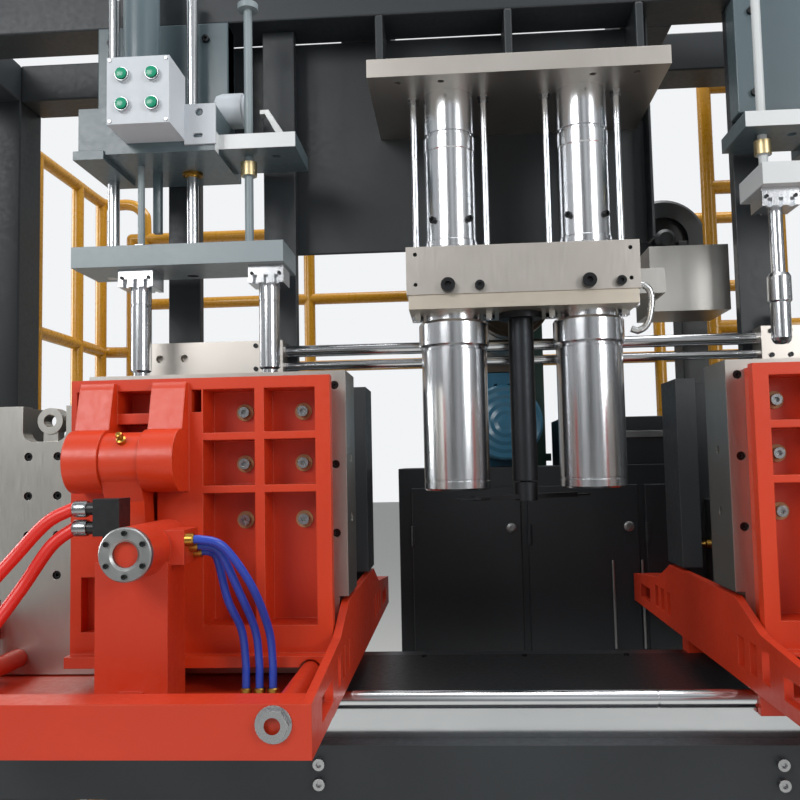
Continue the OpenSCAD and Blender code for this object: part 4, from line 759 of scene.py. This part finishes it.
# Mould carriages: red-orange enamel on castings and frames, ground front platens,
# graphite rear ones and milled aluminium moulds with water fittings.
red_enamel = painted("red_orange_enamel", "#D03A12", "#B52D0E", "#DC5F35", 0.38, 0.007, 0.08, 0.003)
red_frame = painted("red_frame_enamel", "#C63515", "#A92A10", "#D45A34", 0.40, 0.007, 0.06, 0.002)
ground_platen = metal("ground_platen", "#C6C4BE", "#AEABA4", 0.30, 0.40, (1, 1, 0.05), 0.0025)
mould_alloy = metal("milled_aluminium", "#BEC2C5", "#ADB1B5", 0.28, 0.38, (0.08, 1, 1), 0.0025)
dress(red_enamel, "front_casting_left", "front_casting_right", "rocker_lever_left", "rocker_lever_right")
graphite = painted("graphite_enamel", "#34373A", "#282A2D", "#6E7275", 0.36, 0.006, 0.1, 0.002)
dress(red_frame, "carriage_frame_left", "carriage_frame_right")
dress(graphite, "rear_platen_left", "rear_platen_right")
dress(ground_platen, "front_platen_left", "front_platen_right")
dress(mould_alloy, "front_mould_left", "front_mould_right", "rear_mould_left", "rear_mould_right")

tan_washer = mottled("fibre_washer", "#C7A77A", "#A5865C", 0.004, 3.0, 0.7)
washer_ring = [(0.0, 0.0), (0.0165, 0.0), (0.0165, 0.003), (0.0, 0.003)]
nipple = [(0.0, 0.0), (0.0085, 0.0), (0.0085, 0.008), (0.0055, 0.0095), (0.0055, 0.014), (0.0068, 0.016),
          (0.0055, 0.021), (0.0025, 0.0225), (0.0, 0.0225)]
barb = [(0.0, 0.0), (0.011, 0.0), (0.011, 0.010), (0.007, 0.011), (0.0078, 0.018), (0.0062, 0.019),
        (0.0075, 0.027), (0.0055, 0.030), (0.0, 0.030)]
plug = [(0.0, 0.0), (0.0076, 0.0), (0.0076, 0.004), (0.0, 0.004)]
for side, s in SIDES:
    front, rear = "front_platen_unit_" + side, "rear_platen_unit_" + side
    grid = [((s * (STATION + u), -0.5462, 1.429 - 0.078 * k), FRONT) for u in (0.224, 0.284) for k in range(4)]
    grid += [((s * (STATION - 0.333), -0.5462, z), FRONT) for z in (1.557, 1.402, 1.269)]
    screws("platen_screws_" + side, grid, 0.0078, 0.010, black_oxide, front)
    pocket = [(s * (STATION + u), -0.5852, z) for u in (-0.276, -0.162) for z in (1.505, 1.406, 1.299)]
    turned("pocket_washers_" + side, [(washer_ring, place, FRONT) for place in pocket], tan_washer, front, 28)
    screws("pocket_bolts_" + side, [((x, y - 0.003, z), FRONT) for x, y, z in pocket], 0.0105, 0.012,
           bright_bolt, front)
    turned("grease_nipple_" + side, [(nipple, (s * 0.743, -0.7395, 1.449), (0, -0.77, 0.64))], bronze,
           "rocker_" + side, 20)
    for unit, y in ((front, -0.4902), (rear, -0.1098)):
        inner = s * (STATION - 0.272)
        turned("water_fitting_%s_%s" % (unit.split("_")[0], side),
               [(barb, (inner, y, 1.195), (-s, 0, 0)), (plug, (inner, y, 1.025), (-s, 0, 0))],
               bronze, unit, 20)

# Carriage fittings: nuts on the guide rods' ends, and the clamp cylinder's gland
# ring with its screws.
gland = [(0.020, 0.0), (0.042, 0.0), (0.042, 0.009), (0.040, 0.011), (0.024, 0.011), (0.020, 0.008),
         (0.020, 0.0)]
for side, s in SIDES:
    rod_ends = [((s * (STATION + u), y, 1.035), facing) for u in (-0.30, 0.30)
                for y, facing in ((-1.0, FRONT), (0.40, REAR))]
    nuts("rod_end_nuts_" + side, rod_ends, 0.024, 0.010, 0.012, bright_bolt, "carriage_" + side)
    turned("gland_ring_" + side, [(gland, (s * 0.66, -0.930, 1.27), FRONT)], zinc, "carriage_" + side, 40)
    gland_screws = [((s * 0.66 + 0.033 * math.cos(a), -0.9405, 1.27 + 0.033 * math.sin(a)), FRONT)
                    for a in (math.pi * (k + 0.5) / 3 for k in range(6))]
    screws("gland_screws_" + side, gland_screws, 0.0042, 0.004, black_oxide, "carriage_" + side)


# Hoses: smooth extruded rubber, red for pressure and blue for air, with crimped
# ends and collars. They run from the left pedestal to its carriage.
red_rubber = painted("smooth_red_rubber", "#DC2A1E", "#C01C14", "#EA5A4C", 0.32, 0.003)
blue_rubber = painted("smooth_blue_rubber", "#2A48B4", "#20389A", "#5B78D8", 0.32, 0.003)


def left_station(u, y, z):
    return (-(STATION + u / 1000), y / 1000 + HEAD_Y, z / 1000)


red_routes = [
    [(55.1, -505.2, 1335), (82, -505.2, 1335), (126, -510, 1312), (180, -520, 1252), (232, -555, 1182),
     (272, -605, 1122), (290, -655, 1092), (290, -668, 1080), (290, -668, 1063.1)],
    [(55.1, -505.2, 1303), (78, -505.2, 1303), (116, -512, 1274), (160, -524, 1206), (198, -560, 1140),
     (226, -608, 1102), (240, -655, 1090), (240, -668, 1080), (240, -668, 1063.1)]]
blue_routes = []
for k in range(3):
    y, z, u = -540 + 24 * k, 1284 - 12 * k, -238 + 24 * k
    blue_routes.append([
        (-124.1, y, z), (-146, y, z), (u / 2 - 64, y + 12, z - 14), (u + 16, y / 2 - 224, z - 84),
        (u + 2, -432, 1118), (u, -412, 1062), (u, -410, 1030), (u, -410, 1000.1)])
red_tubes = tube("red_pressure_hoses", [[left_station(*p) for p in route] for route in red_routes], 0.011,
                 red_rubber, "carriage_left")
blue_tubes = tube("blue_air_hoses", [[left_station(*p) for p in route] for route in blue_routes], 0.007,
                  blue_rubber, "carriage_left")
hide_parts("red_hoses")
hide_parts("blue_hoses")
crimp = [(0.0113, 0.0), (0.0135, 0.0), (0.0142, 0.003), (0.0142, 0.020), (0.0128, 0.024), (0.0113, 0.024)]
collar = [(0.0073, 0.0), (0.0105, 0.0), (0.0105, 0.012), (0.0088, 0.014), (0.0073, 0.014)]
turned("red_hose_crimps", [(crimp, left_station(*route[0]), (-1, 0, 0)) for route in red_routes]
       + [(crimp, left_station(*route[-1]), UP) for route in red_routes], bezel_metal, "carriage_left", 28)
turned("blue_hose_collars", [(collar, left_station(*route[0]), RIGHT) for route in blue_routes]
       + [(collar, left_station(*route[-1]), UP) for route in blue_routes], bronze, "carriage_left", 24)

scene.view_settings.view_transform = "Standard"
